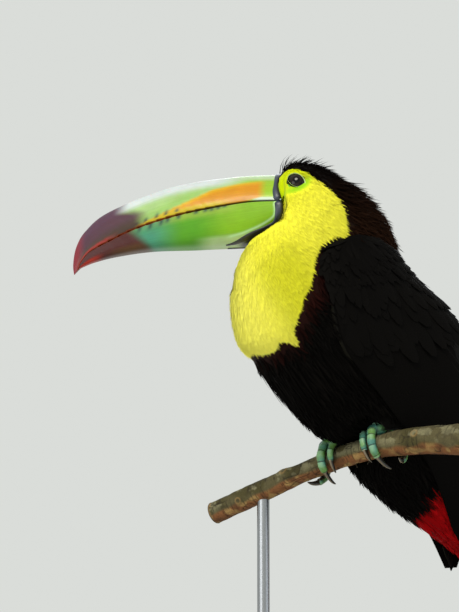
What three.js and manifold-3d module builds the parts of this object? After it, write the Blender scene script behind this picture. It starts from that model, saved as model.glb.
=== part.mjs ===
// A keel-billed toucan perched on a cut branch, held by a turned wooden stand.
// Millimetres, +Z up. The bird faces -X and its right side is +Y.
// The origin is the middle of the stand's underside, below the middle of the two feet.
import * as THREE from 'three';
import { mergeVertices } from 'three/addons/utils/BufferGeometryUtils.js';
import Module from 'manifold-3d';

const wasm = await Module();
wasm.setup();

const gap = 0.3;
const perchLevel = 200;
const neckPivot = new THREE.Vector2(-22, 0);
const headTurn = 36;
const headRoll = 6;
const rollCentre = 150;

// The body from bill base to tail, as sections from the back line to the front line.
// x is backward from the neck pivot and z above the perch; turn is the neck's twist there.
const bodySections = [
  { back: [-24, 171], front: [-22.5, 138], half: 15.5, taper: 0.15, turn: headTurn }, // bill base
  { back: [-15, 177], front: [-24, 131], half: 20, taper: 0.3, turn: headTurn }, // brow and chin
  { back: [3, 175], front: [-46, 121], half: 25, taper: 0.2, turn: headTurn }, // crown and throat
  { back: [23, 163], front: [-57.5, 91], half: 35, taper: 0, turn: 20 }, // nape and bib
  { back: [44.5, 144.5], front: [-55, 60], half: 42, taper: -0.06, turn: 5 }, // mantle and breast
  { back: [52.5, 130.5], front: [-42, 46], half: 43, taper: -0.06, turn: 0 },
  { back: [60, 115], front: [-29, 32], half: 43, taper: 0, turn: 0 }, // back and belly
  { back: [96, 86], front: [12, -6], half: 41, taper: 0.2, turn: 0 },
  { back: [120, 44], front: [50, -36], half: 34, taper: 0.2, turn: 0 }, // lower back and vent
  { back: [134, -4], front: [86, -56], half: 24, taper: 0.1, turn: 0 }, // rump
  { back: [141, -42], front: [121, -78], half: 19, taper: 0, turn: 0 },
  { back: [150, -72], front: [155, -104], half: 13, taper: 0, turn: 0 }, // ends of the tail coverts
];
// The bill's rear edge from brow to chin, as rows of up, back, the flesh's half width ahead of it
// and how far behind it the flesh begins to narrow. So the flesh there lies inside the bill.
const billSeat = {
  rows: [
    [175, -24, 15.5, 3], [151, -22, 15.5, 3.5], [143, -21.5, 14, 5], [134, -26, 10.5, 6],
    [127.5, -38, 8, 6], [124, -50, 5.5, 6], [120, -58, 3, 6],
  ],
  clear: 1.5, end: 0.27,
};
const headEnd = 0.245; // where the head meets the neck, as a fraction of the body's length
const neckEnd = 0.4;

// Bill, in the head's own plane: keel line, cutting edge and lower line, base to tip.
const keelLine = [
  [-25, 171.3], [-57, 170], [-96, 163.8], [-132.9, 149],
  [-147.5, 137], [-153.5, 126.3], [-155.2, 115], [-154.4, 108],
];
const cuttingEdge = [
  [-22, 149.4], [-46, 149.1], [-85, 143.2], [-114, 135.6],
  [-133.2, 127.6], [-144.2, 122], [-149.8, 115.8], [-151.6, 111.4],
];
const lowerLine = [
  [-22.5, 137.5], [-40, 126.8], [-72, 124.2], [-104, 123.2],
  [-127, 120], [-141, 116.4], [-148.5, 113.4], [-151, 112],
];
const billHalfWidths = [17, 16, 13, 9, 6, 4, 2.4, 1.2];

const eye = { radius: 7.5, back: -12.7, up: 158.5, side: 16.5 };

// Folded wing: front and back edges from shoulder to tip, x backward from the neck pivot.
const wingFrontEdge = [
  [-4, 124], [-20, 112], [-20, 91], [-10, 56], [22, 25], [56, -8], [87, -49], [104, -76],
];
const wingBackEdge = [
  [6, 127], [29, 124], [60.5, 106], [90, 75.5], [111, 42], [123, 0], [125, -40], [112, -76],
];
const wingThickness = [6, 6, 5, 4, 3, 2.4];
const wingLie = { least: 13, out: 1.2 }; // its least distance from the middle, and its rise off the body

const tail = {
  root: [111, -10], tip: [188, -152], rootHalf: 21, endHalf: 30, rootThick: 5, endThick: 2,
  rounding: 34, // the outer feathers end this much short of the middle ones
  arch: 0.0045, // how fast the tail drops away to its sides
};

// Perch: its middle line from the cut end on the bird's right to the one on its left.
const perchLine = [
  [-43.5, 93.3, -38.5], [-15.7, 33.6, -15.9], [-0.5, 1, -5.5],
  [10.3, -22.2, -1], [24.5, -52.6, 1.1], [46.4, -99.5, -3.2],
];
const perchRadii = [7.5, 6.9, 6.6, 7.2, 9.2, 9.6];
const footPlaces = { left: 130, right: 95 }; // each foot's distance along the perch from its right end

const base = { radius: 120, thick: 18 };
const rodRadius = 4;
const rodPlaces = { stand_rod_right: 40, stand_rod_left: 208 }; // mm along the perch from its right end

const finishes = {
  blackFeather: { color: '#14120f', roughness: 0.6, metalness: 0 },
  yellowFeather: { color: '#f4e63c', roughness: 0.7, metalness: 0 },
  redFeather: { color: '#c8101c', roughness: 0.6, metalness: 0 },
  billHorn: { color: '#8fce62', roughness: 0.35, metalness: 0 },
  eye: { color: '#140d08', roughness: 0.08, metalness: 0 },
  scaledSkin: { color: '#8fc0bd', roughness: 0.55, metalness: 0 },
  claw: { color: '#4a4540', roughness: 0.4, metalness: 0 },
  bark: { color: '#8b7d68', roughness: 0.9, metalness: 0 },
  walnut: { color: '#4f3322', roughness: 0.45, metalness: 0 },
  steel: { color: '#b9bcc0', roughness: 0.3, metalness: 1 },
};

const radians = THREE.MathUtils.degToRad;

// A smooth line through a few points, or through a few numbers, read from 0 to 1.
const line = (points) => new THREE.SplineCurve(points.map((point) => new THREE.Vector2(...point)));

function blend(values) {
  const curve = line(values.map((value, index) => [index, value]));
  return (share) => curve.getPoint(share).y;
}

// Wraps a cylinder round any form: pointAt(share along, angle round, radius 0 to 1).
function loft(sides, rings, pointAt) {
  const shape = new THREE.CylinderGeometry(1, 1, 1, sides, rings);
  const place = shape.attributes.position;
  for (let i = 0; i < place.count; i++) {
    const radius = Math.hypot(place.getX(i), place.getZ(i));
    const angle = Math.atan2(place.getX(i), place.getZ(i));
    const point = pointAt(0.5 - place.getY(i), angle, radius);
    place.setXYZ(i, point.x, point.y, point.z);
  }
  return closed(shape);
}

// Merges a shape's shared points and turns its faces outward.
function closed(shape) {
  shape.deleteAttribute('normal');
  shape.deleteAttribute('uv');
  const merged = mergeVertices(shape, 1e-4);
  const index = merged.index.array;
  const place = merged.attributes.position;
  const [a, b, c] = [new THREE.Vector3(), new THREE.Vector3(), new THREE.Vector3()];
  let volume = 0;
  for (let i = 0; i < index.length; i += 3) {
    a.fromBufferAttribute(place, index[i]);
    b.fromBufferAttribute(place, index[i + 1]);
    c.fromBufferAttribute(place, index[i + 2]);
    volume += a.dot(b.cross(c));
  }
  if (volume < 0) {
    for (let i = 0; i < index.length; i += 3) [index[i], index[i + 1]] = [index[i + 1], index[i]];
  }
  return merged;
}

function toSolid(geometry) {
  return new wasm.Manifold(new wasm.Mesh({
    numProp: 3,
    vertProperties: new Float32Array(geometry.attributes.position.array),
    triVerts: new Uint32Array(geometry.index.array),
  }));
}

function toGeometry(solid) {
  const mesh = solid.getMesh();
  const geometry = new THREE.BufferGeometry();
  geometry.setAttribute('position', new THREE.BufferAttribute(new Float32Array(mesh.vertProperties), 3));
  geometry.setIndex(new THREE.BufferAttribute(new Uint32Array(mesh.triVerts), 1));
  return geometry;
}

// The largest piece that is left of a shape once the cutters are taken away.
function cut(geometry, cutters) {
  let solid = toSolid(geometry);
  for (const cutter of cutters) solid = solid.subtract(toSolid(cutter));
  const pieces = solid.decompose().sort((a, b) => b.volume() - a.volume());
  return toGeometry(pieces[0]);
}

// A large block whose face lies on a plane, reaching away along the plane's normal.
function halfSpace(point, normal, offset) {
  const size = 700;
  const block = new THREE.BoxGeometry(size, size, size);
  block.translate(0, 0, size / 2 + offset);
  block.applyQuaternion(new THREE.Quaternion().setFromUnitVectors(new THREE.Vector3(0, 0, 1), normal));
  block.translate(point.x, point.y, point.z);
  return closed(block);
}

// A place given backward, sideways and up in a plane turned about the neck pivot.
// The more the plane is turned, the more the head's roll tips it about the bill's line.
function turned(back, side, up, turn) {
  const angle = radians(turn);
  const roll = radians(headRoll * turn / headTurn);
  const high = up - rollCentre;
  const aside = side * Math.cos(roll) + high * Math.sin(roll);
  return new THREE.Vector3(
    neckPivot.x + back * Math.cos(angle) + aside * Math.sin(angle),
    neckPivot.y - back * Math.sin(angle) + aside * Math.cos(angle),
    rollCentre + high * Math.cos(roll) - side * Math.sin(roll),
  );
}

const onHead = (back, side, up) => turned(back, side, up, headTurn);

// The other way round: a place's backward, sideways and upward distances in the head's own plane.
function headPlace(point) {
  const [angle, roll] = [radians(headTurn), radians(headRoll)];
  const [x, y, high] = [point.x - neckPivot.x, point.y - neckPivot.y, point.z - rollCentre];
  const aside = x * Math.sin(angle) + y * Math.cos(angle);
  return {
    back: x * Math.cos(angle) - y * Math.sin(angle),
    side: aside * Math.cos(roll) - high * Math.sin(roll),
    up: rollCentre + high * Math.cos(roll) + aside * Math.sin(roll),
  };
}

// ---- body ----
const backLine = line(bodySections.map((section) => section.back));
const frontLine = line(bodySections.map((section) => section.front));
const halfWidth = blend(bodySections.map((section) => section.half));
const sideTaper = blend(bodySections.map((section) => section.taper));
const neckTwist = blend(bodySections.map((section) => section.turn));

// A row of the bill's seat at a height: backward place, the flesh's half width and its fade.
function seatAt(up) {
  const { rows } = billSeat;
  const index = rows.findIndex(([height]) => up >= height);
  const [above, below] = index <= 0 ? [rows.at(index), rows.at(index)] : [rows[index - 1], rows[index]];
  const share = above === below ? 0 : (above[0] - up) / (above[0] - below[0]);
  return [1, 2, 3].map((column) => THREE.MathUtils.lerp(above[column], below[column], share));
}

// Narrows the flesh ahead of the bill's rear edge.
function tucked(point) {
  const { back, side, up } = headPlace(point);
  const [seatBack, half, fade] = seatAt(up);
  const tuck = THREE.MathUtils.smoothstep(seatBack - back, -fade, -billSeat.clear);
  const over = Math.max(0, Math.abs(side) - half) * tuck;
  return over > 0 ? onHead(back, side - over * Math.sign(side), up) : point;
}

function bodyPoint(share, angle, radius, extra = 0) {
  const back = backLine.getPoint(share);
  const front = frontLine.getPoint(share);
  const depth = back.clone().sub(front);
  const middle = back.clone().add(front).multiplyScalar(0.5);
  const reach = (depth.length() / 2 + extra) * radius * Math.cos(angle);
  const place = middle.add(depth.normalize().multiplyScalar(reach));
  const lean = 1 + sideTaper(share) * Math.cos(angle);
  const side = (halfWidth(share) + extra) * radius * Math.sin(angle) * lean;
  const point = turned(place.x, side, place.y, neckTwist(share));
  return share < billSeat.end ? tucked(point) : point;
}

// How far the body reaches sideways at a place seen from the side.
function bodySide(back, up) {
  let [low, high] = [0.3, 1];
  for (let step = 0; step < 24; step++) {
    const share = (low + high) / 2;
    const front = frontLine.getPoint(share);
    const depth = backLine.getPoint(share).sub(front);
    const offset = new THREE.Vector2(back, up).sub(front);
    if (depth.cross(offset) > 0) high = share; else low = share;
  }
  const front = frontLine.getPoint(low);
  const depth = backLine.getPoint(low).sub(front);
  const rise = new THREE.Vector2(back, up).sub(front).dot(depth) / depth.lengthSq();
  const height = THREE.MathUtils.clamp(2 * rise - 1, -0.97, 0.97);
  return halfWidth(low) * Math.sqrt(1 - height * height) * (1 + sideTaper(low) * height);
}

// ---- wings ----
function wing(side, extra = 0) {
  const frontEdge = line(wingFrontEdge);
  const backEdge = line(wingBackEdge);
  const thickness = blend(wingThickness);
  const onWing = (share, across) => {
    const place = frontEdge.getPoint(share).lerp(backEdge.getPoint(share), across);
    return turned(place.x, side * Math.max(wingLie.least, bodySide(place.x, place.y)), place.y, 0);
  };
  return loft(12, 14, (share, angle, radius) => {
    const across = 0.5 - 0.5 * radius * Math.cos(angle) * (1 + extra / 30);
    const [step, wide] = [0.01, THREE.MathUtils.clamp(across, 0.03, 0.97)];
    const middle = onWing(share, across);
    const along = onWing(Math.min(1, share + step), wide).sub(onWing(Math.max(0, share - step), wide));
    const over = onWing(share, wide + step).sub(onWing(share, wide - step));
    const out = along.cross(over).normalize().multiplyScalar(-side);
    const half = (thickness(share) / 2 + extra) * radius * Math.sin(angle);
    return middle.addScaledVector(out, half + wingLie.out);
  });
}

// ---- tail ----
const tailRoot = turned(tail.root[0], 0, tail.root[1], 0);
const tailTip = turned(tail.tip[0], 0, tail.tip[1], 0);
const tailLine = tailTip.clone().sub(tailRoot).normalize();
const tailUp = new THREE.Vector3(-tailLine.z, 0, tailLine.x);

function tailBlade(extra = 0) {
  const length = tailRoot.distanceTo(tailTip);
  return loft(12, 8, (share, angle, radius) => {
    const half = THREE.MathUtils.lerp(tail.rootHalf, tail.endHalf, share) + extra;
    const across = half * radius * Math.cos(angle);
    const thick = THREE.MathUtils.lerp(tail.rootThick, tail.endThick, share) / 2 + extra;
    const short = tail.rounding * share * Math.pow(Math.abs(across) / half, 2.2);
    const high = thick * radius * Math.sin(angle) - tail.arch * across * across;
    return tailRoot.clone()
      .addScaledVector(tailLine, share * length - short)
      .addScaledVector(tailUp, high)
      .setComponent(1, across);
  });
}

// ---- bill ----
// One half of the bill, lofted between the cutting edge and its outer line.
function billHalf(outerLine, rise, round, squareness, extra = 0) {
  const outer = line(outerLine);
  const edge = line(cuttingEdge.map(([back, up]) => [back, up + rise]));
  const half = blend(billHalfWidths);
  return loft(16, 14, (share, angle, radius) => {
    const [top, bottom] = [outer.getPoint(share), edge.getPoint(share)];
    const lift = 0.5 + 0.5 * Math.cos(angle);
    const width = Math.pow(1 - Math.pow(lift, round), squareness) * Math.sign(Math.sin(angle));
    const centre = bottom.clone().lerp(top, 0.4);
    const place = centre.clone().lerp(bottom.clone().lerp(top, lift), radius);
    place.addScaledVector(top.clone().sub(bottom).normalize(), extra * radius * Math.cos(angle));
    return onHead(place.x + extra, (half(share) + extra) * width * radius, place.y);
  });
}
const upperBill = (extra) => billHalf(keelLine, gap / 2, 1.7, 0.75, extra);
const lowerBill = (extra) => billHalf(lowerLine, -gap / 2, 5, 0.32, extra);

// ---- eyes ----
function eyeBall(side, extra = 0) {
  const ball = new THREE.SphereGeometry(eye.radius + extra, 10, 6);
  const centre = onHead(eye.back, side * eye.side, eye.up);
  return closed(ball.translate(centre.x, centre.y, centre.z));
}

// ---- perch ----
const perchCurve = new THREE.CatmullRomCurve3(perchLine.map((point) => new THREE.Vector3(...point)));
const perchLength = perchCurve.getLength();
const perchRadius = blend(perchRadii);

// The perch's middle and directions at a distance along it: forward of it, and up from it.
function perchFrame(distance) {
  const share = THREE.MathUtils.clamp(distance / perchLength, 0, 1);
  const along = perchCurve.getTangentAt(share);
  const forward = new THREE.Vector3(along.y, -along.x, 0).normalize();
  const up = new THREE.Vector3().crossVectors(forward, along).normalize();
  if (up.z < 0) up.negate();
  return { middle: perchCurve.getPointAt(share), along, forward, up, radius: perchRadius(share) };
}

function perchWood(extra = 0) {
  return loft(12, 12, (share, angle, radius) => {
    const here = perchFrame(share * perchLength);
    const reach = (here.radius + extra) * radius;
    return here.middle
      .addScaledVector(here.forward, reach * Math.sin(angle))
      .addScaledVector(here.up, reach * Math.cos(angle));
  });
}

// The room in front of the perch and below it, which the belly leaves free.
function perchRoom() {
  const [ahead, below, margin] = [90, 90, 1];
  return loft(4, 10, (share, angle, radius) => {
    const here = perchFrame(share * perchLength);
    const reach = here.radius + margin;
    const corner = Math.round(angle / (Math.PI / 2));
    const [forward, up] = radius < 0.5 ? [ahead / 2, -below / 2]
      : [[ahead, reach], [ahead, -below], [-reach, -below], [-reach, reach]][(corner + 4) % 4];
    return here.middle.addScaledVector(here.forward, forward).addScaledVector(here.up, up);
  });
}

// ---- legs and feet ----
const sides = { left: 1, right: -1 }; // along the perch; the bird's left is -Y
const toes = [ // how each toe leaves the foot and wraps the perch; outward is away from the body
  { name: 'toe_inner_front', from: 24, to: 104, start: -7, end: -4.5, base: 2.4, claw: 9 },
  { name: 'toe_outer_front', from: 24, to: 136, start: -0.6, end: 3, base: 3.1, claw: 15 },
  { name: 'toe_inner_back', from: -24, to: -104, start: -4, end: -11, base: 2.6, claw: 8 },
  { name: 'toe_outer_back', from: -24, to: -172, start: 3, end: 15, base: 2.9, claw: 9 },
];
const footPad = { wide: 6.4, deep: 5.6, high: 4.4, rise: 3.6 };
const shank = { top: 18, lean: 4, radius: 3.1 };
const thighLine = { low: [6, 0, 24], high: [30, 0, 62], least: 7, swell: 9 }; // from the perch's middle
const hollow = { size: [15, 22, 13], forward: 14 }; // along, forward of and above the perch

// Sweeps a round section of changing radius along a curve.
function sweep(curve, sides, rings, radiusAt) {
  return loft(sides, rings, (share, angle, radius) => {
    const along = curve.getTangentAt(share);
    const aside = new THREE.Vector3(0.31, 0.22, 0.92).cross(along).normalize();
    const over = along.clone().cross(aside);
    const reach = radiusAt(share) * radius;
    return curve.getPointAt(share)
      .addScaledVector(aside, reach * Math.sin(angle))
      .addScaledVector(over, reach * Math.cos(angle));
  });
}

// A place round the perch: degrees forward from its top, clear of the bark.
function roundPerch(distance, degrees, clear) {
  const here = perchFrame(distance);
  const angle = radians(degrees);
  return here.middle
    .addScaledVector(here.forward, (here.radius + clear) * Math.sin(angle))
    .addScaledVector(here.up, (here.radius + clear) * Math.cos(angle));
}

function toePath(foot, toe) {
  const points = [];
  const steps = 8;
  for (let i = 0; i <= steps; i++) {
    const share = i / steps;
    const outward = THREE.MathUtils.lerp(toe.start, toe.end, Math.pow(share, 0.7));
    const distance = footPlaces[foot] + sides[foot] * outward;
    const degrees = THREE.MathUtils.lerp(toe.from, toe.to, share);
    points.push(roundPerch(distance, degrees, toe.base * (1.02 - 0.2 * share) + gap + 0.1));
  }
  return new THREE.CatmullRomCurve3(points);
}

function clawPath(foot, toe) {
  const path = toePath(foot, toe);
  const tip = path.getPointAt(1);
  const along = path.getTangentAt(1);
  const inward = perchFrame(footPlaces[foot] + sides[foot] * toe.end).middle.sub(tip).normalize();
  const start = tip.clone().addScaledVector(along, gap);
  const bend = start.clone().addScaledVector(along, toe.claw * 0.55);
  const end = start.clone().addScaledVector(along, toe.claw * 0.9).addScaledVector(inward, toe.claw * 0.3);
  return new THREE.QuadraticBezierCurve3(start, bend, end);
}

function toeShape(foot, toe, extra = 0) {
  return sweep(toePath(foot, toe), 6, 7, (share) => toe.base * (1 - 0.2 * share) + extra);
}

function clawShape(foot, toe, extra = 0) {
  const [root, tip] = [1.9, 0.3];
  return sweep(clawPath(foot, toe), 5, 3, (share) => root * Math.pow(1 - share, 0.7) + tip + extra);
}

function footShape(foot, extra = 0) {
  const here = perchFrame(footPlaces[foot]);
  const top = here.middle.clone().addScaledVector(here.up, here.radius);
  const pad = new THREE.SphereGeometry(1, 8, 6);
  pad.scale(footPad.wide + extra, footPad.deep + extra, footPad.high + extra);
  const turn = new THREE.Matrix4().makeBasis(here.along, here.forward, here.up);
  pad.applyMatrix4(turn);
  const seat = top.clone().addScaledVector(here.up, footPad.rise);
  pad.translate(seat.x, seat.y, seat.z);
  const legTop = seat.clone().add(new THREE.Vector3(shank.lean, 0, shank.top));
  const leg = sweep(new THREE.LineCurve3(seat, legTop), 7, 1, () => shank.radius + extra);
  return toGeometry(toSolid(closed(pad)).add(toSolid(leg)));
}

// The feathered thigh, from the belly down to the shank.
function thigh(foot, extra = 0) {
  const seat = perchFrame(footPlaces[foot]).middle;
  const low = seat.clone().add(new THREE.Vector3(...thighLine.low));
  const high = seat.clone().add(new THREE.Vector3(...thighLine.high));
  return sweep(new THREE.LineCurve3(low, high), 8, 5, (share) => {
    const swell = thighLine.least + thighLine.swell * Math.sin(Math.PI * Math.min(1, 0.12 + 0.72 * share));
    return swell * Math.min(1, 0.6 + 3 * share) + extra;
  });
}

// The hollow that the belly feathers leave round a foot.
function footHollow(foot) {
  const here = perchFrame(footPlaces[foot]);
  const room = new THREE.SphereGeometry(1, 8, 6);
  room.scale(...hollow.size);
  room.applyMatrix4(new THREE.Matrix4().makeBasis(here.along, here.forward, here.up));
  const middle = here.middle.clone()
    .addScaledVector(here.forward, hollow.forward)
    .addScaledVector(here.up, here.radius);
  return closed(room.translate(middle.x, middle.y, middle.z));
}

// ---- stand ----
function standBase() {
  const { radius, thick } = base;
  const profile = [
    [0, 0], [radius - 2, 0], [radius, 2], [radius, 9], // foot and side
    [radius - 3, 12.5], [radius - 8, 13.5], [radius - 10, thick], [0, thick], // moulding and top
  ];
  const shape = new THREE.LatheGeometry(profile.map(([x, y]) => new THREE.Vector2(x, y)), 24);
  return closed(shape.rotateX(Math.PI / 2));
}

function standRod(distance) {
  const top = perchFrame(distance).middle;
  const bottom = new THREE.Vector3(top.x, top.y, base.thick + gap - perchLevel);
  const rod = new THREE.CylinderGeometry(rodRadius, rodRadius, top.z - bottom.z, 12);
  rod.rotateX(Math.PI / 2);
  rod.translate(top.x, top.y, (top.z + bottom.z) / 2);
  return cut(closed(rod), [perchWood(gap)]);
}

// ---- the model ----
const model = new THREE.Group();
const bird = new THREE.Group();
bird.position.z = perchLevel;
model.add(bird);

function piece(group, name, geometry, finish) {
  const material = new THREE.MeshStandardMaterial({ name: finish, ...finishes[finish] });
  const mesh = new THREE.Mesh(geometry, material);
  mesh.name = name;
  group.add(mesh);
}

// The plane of one body section, facing towards the head.
function sectionPlane(share) {
  const [back, front] = [bodyPoint(share, 0, 1), bodyPoint(share, Math.PI, 1)];
  const side = bodyPoint(share, Math.PI / 2, 1);
  const normal = back.clone().sub(front).cross(side.clone().sub(front)).normalize();
  if (bodyPoint(share - 0.05, 0, 0).sub(front).dot(normal) < 0) normal.negate();
  return { point: bodyPoint(share, 0, 0), normal };
}

const flesh = cut(loft(20, 24, bodyPoint), [
  upperBill(gap), lowerBill(gap), tailBlade(gap), perchWood(1), perchRoom(),
  ...Object.entries(sides).flatMap(([foot, side]) => [
    eyeBall(side, gap), wing(-side, gap), footHollow(foot), footShape(foot, gap), thigh(foot, gap),
    ...toes.flatMap((toe) => [toeShape(foot, toe, 2 * gap), clawShape(foot, toe, 2 * gap)]),
  ]),
]);

const headPlane = sectionPlane(headEnd);
const neckPlane = sectionPlane(neckEnd);
const awayFrom = (plane, offset) => halfSpace(plane.point, plane.normal.clone().negate(), offset);
const towards = (plane, offset) => halfSpace(plane.point, plane.normal, offset);
const neckCuts = [towards(headPlane, -gap / 2), awayFrom(neckPlane, -gap / 2)];
piece(bird, 'head', cut(flesh, [awayFrom(headPlane, -gap / 2)]), 'yellowFeather');
piece(bird, 'neck', cut(flesh, neckCuts), 'yellowFeather');
const rear = { point: tailRoot, normal: tailLine };
piece(bird, 'trunk', cut(flesh, [towards(neckPlane, -gap / 2), towards(rear, -gap / 2)]), 'blackFeather');
const above = halfSpace(tailRoot, tailUp, 0);
const below = halfSpace(tailRoot, tailUp.clone().negate(), 0);
piece(bird, 'uppertail_coverts', cut(flesh, [awayFrom(rear, -gap / 2), below]), 'blackFeather');
piece(bird, 'undertail_coverts', cut(flesh, [awayFrom(rear, -gap / 2), above]), 'redFeather');
piece(bird, 'tail', cut(tailBlade(), Object.values(sides).map((side) => wing(side, gap))), 'blackFeather');
piece(bird, 'bill_upper', upperBill(0), 'billHorn');
piece(bird, 'bill_lower', lowerBill(0), 'billHorn');

for (const [name, side] of Object.entries(sides)) {
  piece(bird, `eye_${name}`, eyeBall(-side), 'eye');
  piece(bird, `wing_${name}`, cut(wing(-side), [perchWood(gap)]), 'blackFeather');
  const thighCuts = [footShape(name, gap), wing(-side, gap), perchWood(gap)];
  piece(bird, `thigh_${name}`, cut(thigh(name), thighCuts), 'blackFeather');
  const toeRoom = toes.map((toe) => toeShape(name, toe, gap));
  piece(bird, `foot_${name}`, cut(footShape(name), [perchWood(gap), ...toeRoom]), 'scaledSkin');
  for (const toe of toes) {
    piece(bird, `${toe.name}_${name}`, toeShape(name, toe), 'scaledSkin');
    piece(bird, `${toe.name.replace('toe', 'claw')}_${name}`, clawShape(name, toe), 'claw');
  }
}

piece(bird, 'perch', perchWood(), 'bark');
piece(model, 'stand_base', standBase(), 'walnut');
for (const [name, distance] of Object.entries(rodPlaces)) piece(bird, name, standRod(distance), 'steel');

export default model;
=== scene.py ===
# A keel-billed toucan, life size, gripping a short cut branch on a turned walnut stand.
# Shapes are worked out in millimetres from the branch level up; meshes are made in metres.
import math

import bpy
import numpy as np
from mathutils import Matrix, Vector


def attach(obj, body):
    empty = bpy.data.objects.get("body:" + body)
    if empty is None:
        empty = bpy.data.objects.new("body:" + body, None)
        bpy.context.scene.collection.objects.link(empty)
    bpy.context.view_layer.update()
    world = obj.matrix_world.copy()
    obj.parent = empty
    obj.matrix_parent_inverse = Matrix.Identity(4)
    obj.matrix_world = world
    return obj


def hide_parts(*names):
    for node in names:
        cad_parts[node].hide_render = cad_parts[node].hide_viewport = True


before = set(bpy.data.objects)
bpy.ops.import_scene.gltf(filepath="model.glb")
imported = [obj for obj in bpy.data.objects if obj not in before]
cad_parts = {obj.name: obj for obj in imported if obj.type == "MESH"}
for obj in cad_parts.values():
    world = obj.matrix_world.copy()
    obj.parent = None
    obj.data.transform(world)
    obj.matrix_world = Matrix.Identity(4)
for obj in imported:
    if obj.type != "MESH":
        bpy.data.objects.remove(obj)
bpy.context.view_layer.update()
mm = 0.001
draws = np.random.default_rng(11)  # seeded, so every run is the same


# ---- small tools ----
def hexColour(code):  # sRGB hex to the linear values that shaders take
    values = np.array([int(code[i:i + 2], 16) / 255 for i in (1, 3, 5)])
    return np.where(values <= 0.04045, values / 12.92, ((values + 0.055) / 1.055) ** 2.4)


def palette(**codes):
    return {name: hexColour(code) for name, code in codes.items()}


def smooth(value, low, high):  # 0 below low, 1 above high, an S-curve between
    share = np.clip((value - low) / (high - low), 0, 1)
    return share * share * (3 - 2 * share)


def mix(first, second, share):
    return first + (second - first) * np.asarray(share)[..., None]


def layered(tone, tones, *layers):  # lays named colours over a tone, each by its share
    for name, share in layers:
        tone = mix(tone, tones[name], share)
    return tone


def unit(vectors):
    return vectors / np.maximum(np.linalg.norm(vectors, axis=-1, keepdims=True), 1e-9)


def turnsOf(count):  # that many even turns round a ring, in radians
    return np.linspace(0, 2 * np.pi, count, endpoint=False)


def rowsOf(rows, ring):  # 0 to 1 down the rows of a loft, the same all round
    return np.linspace(0, 1, rows)[:, None] * np.ones(ring)


def travel(path):  # how far along a path each of its points lies
    return np.concatenate([[0], np.cumsum(np.linalg.norm(np.diff(path, axis=0), axis=1))])


def closed(rings, ends=None):  # a loft's points, between its end points or its end rings' middles
    ends = rings[[0, -1]].mean(1) if ends is None else ends
    return np.concatenate([ends[:1], rings.reshape(-1, 3), ends[1:]])


def withEnds(tones):  # colours for a loft's points, its two end points included
    flat = tones.reshape(-1, 3)
    return np.concatenate([flat[:1], flat, flat[-1:]])


# A smooth line through a few rows of numbers, read from 0 to 1.
def spline(rows, share):
    rows = np.asarray(rows, float)
    rows = rows[:, None] if rows.ndim == 1 else rows
    last = len(rows) - 1
    place = np.clip(share, 0, 1) * last
    start = np.minimum(place.astype(int), last - 1)
    rest = (place - start)[..., None]
    before, here, after, later = (rows[np.clip(start + k, 0, last)] for k in (-1, 0, 1, 2))
    leave, arrive = (after - here + here - before) / 2, (later - here) / 2
    cubic = (2 * here - 2 * after + leave + arrive) * rest ** 3
    return cubic + (3 * after - 3 * here - 2 * leave - arrive) * rest ** 2 + leave * rest + here


# ---- materials ----
def addNode(tree, kind, links=None, **settings):
    node = tree.nodes.new("ShaderNode" + kind)
    for name, value in settings.items():
        setattr(node, name, value)
    for socket, source in (links or {}).items():
        if isinstance(source, bpy.types.NodeSocket):
            tree.links.new(source, node.inputs[socket])
        else:
            node.inputs[socket].default_value = source
    return node


def newMaterial(name, **values):
    material = bpy.data.materials.new(name)
    material.use_nodes = True
    shader = material.node_tree.nodes["Principled BSDF"]
    for socket, value in values.items():
        value = (*hexColour(value), 1) if isinstance(value, str) else value
        shader.inputs[socket.replace("_", " ")].default_value = value
    return material, material.node_tree, shader


def colourRamp(tree, factor, *stops):
    ramp = addNode(tree, "ValToRGB", {"Fac": factor})
    elements = ramp.color_ramp.elements
    while len(elements) < len(stops):
        elements.new(0.5)
    for element, (place, colour) in zip(elements, stops):
        element.position = place
        element.color = (*hexColour(colour), 1)
    return ramp.outputs["Color"]


def grain(tree, size, kind="TexNoise", out="Fac", **more):  # a texture with marks `size` mm wide
    place = addNode(tree, "TexCoord").outputs["Object"]
    return addNode(tree, kind, {"Vector": place, "Scale": 1 / (size * mm), **more}).outputs[out]


def between(tree, value, low, high):
    return addNode(tree, "MapRange", {"Value": value, "To Min": low, "To Max": high}).outputs[0]


def usePaint(tree, shader, factor=None):  # the colours painted on the mesh, times a factor
    tone = addNode(tree, "Attribute", attribute_name="coat").outputs["Color"]
    if factor is not None:
        tone = addNode(tree, "VectorMath", {0: tone, 1: factor}, operation="MULTIPLY").outputs[0]
    tree.links.new(tone, shader.inputs["Base Color"])


def addRelief(tree, shader, height, strength, depth, invert=False):  # depth in mm
    bump = addNode(tree, "Bump", {"Height": height, "Strength": strength, "Distance": depth * mm},
                   invert=invert)
    tree.links.new(bump.outputs["Normal"], shader.inputs["Normal"])


# A painted finish whose grain both varies the paint between two factors and stands in relief.
def grainedFinish(name, size, factors, strength, depth, texture=None, **values):
    material, tree, shader = newMaterial(name, **values)
    height = grain(tree, size, **(texture or {}))
    usePaint(tree, shader, between(tree, height, *factors))
    addRelief(tree, shader, height, strength, depth)
    return material


def plainFinish(name, **values):  # painted, with no grain
    material, tree, shader = newMaterial(name, **values)
    usePaint(tree, shader)
    return material


# Body feathers: loose soft barbs that scatter light, so the coat looks velvety and never shiny.
def featherCoat(name, barb, mottle, strength, **values):
    return grainedFinish(name, barb, (1 - mottle, 1 + mottle), strength, 0.2, {"Detail": 3},
                         IOR=1.2, Sheen_Roughness=0.45, **values)


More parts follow.
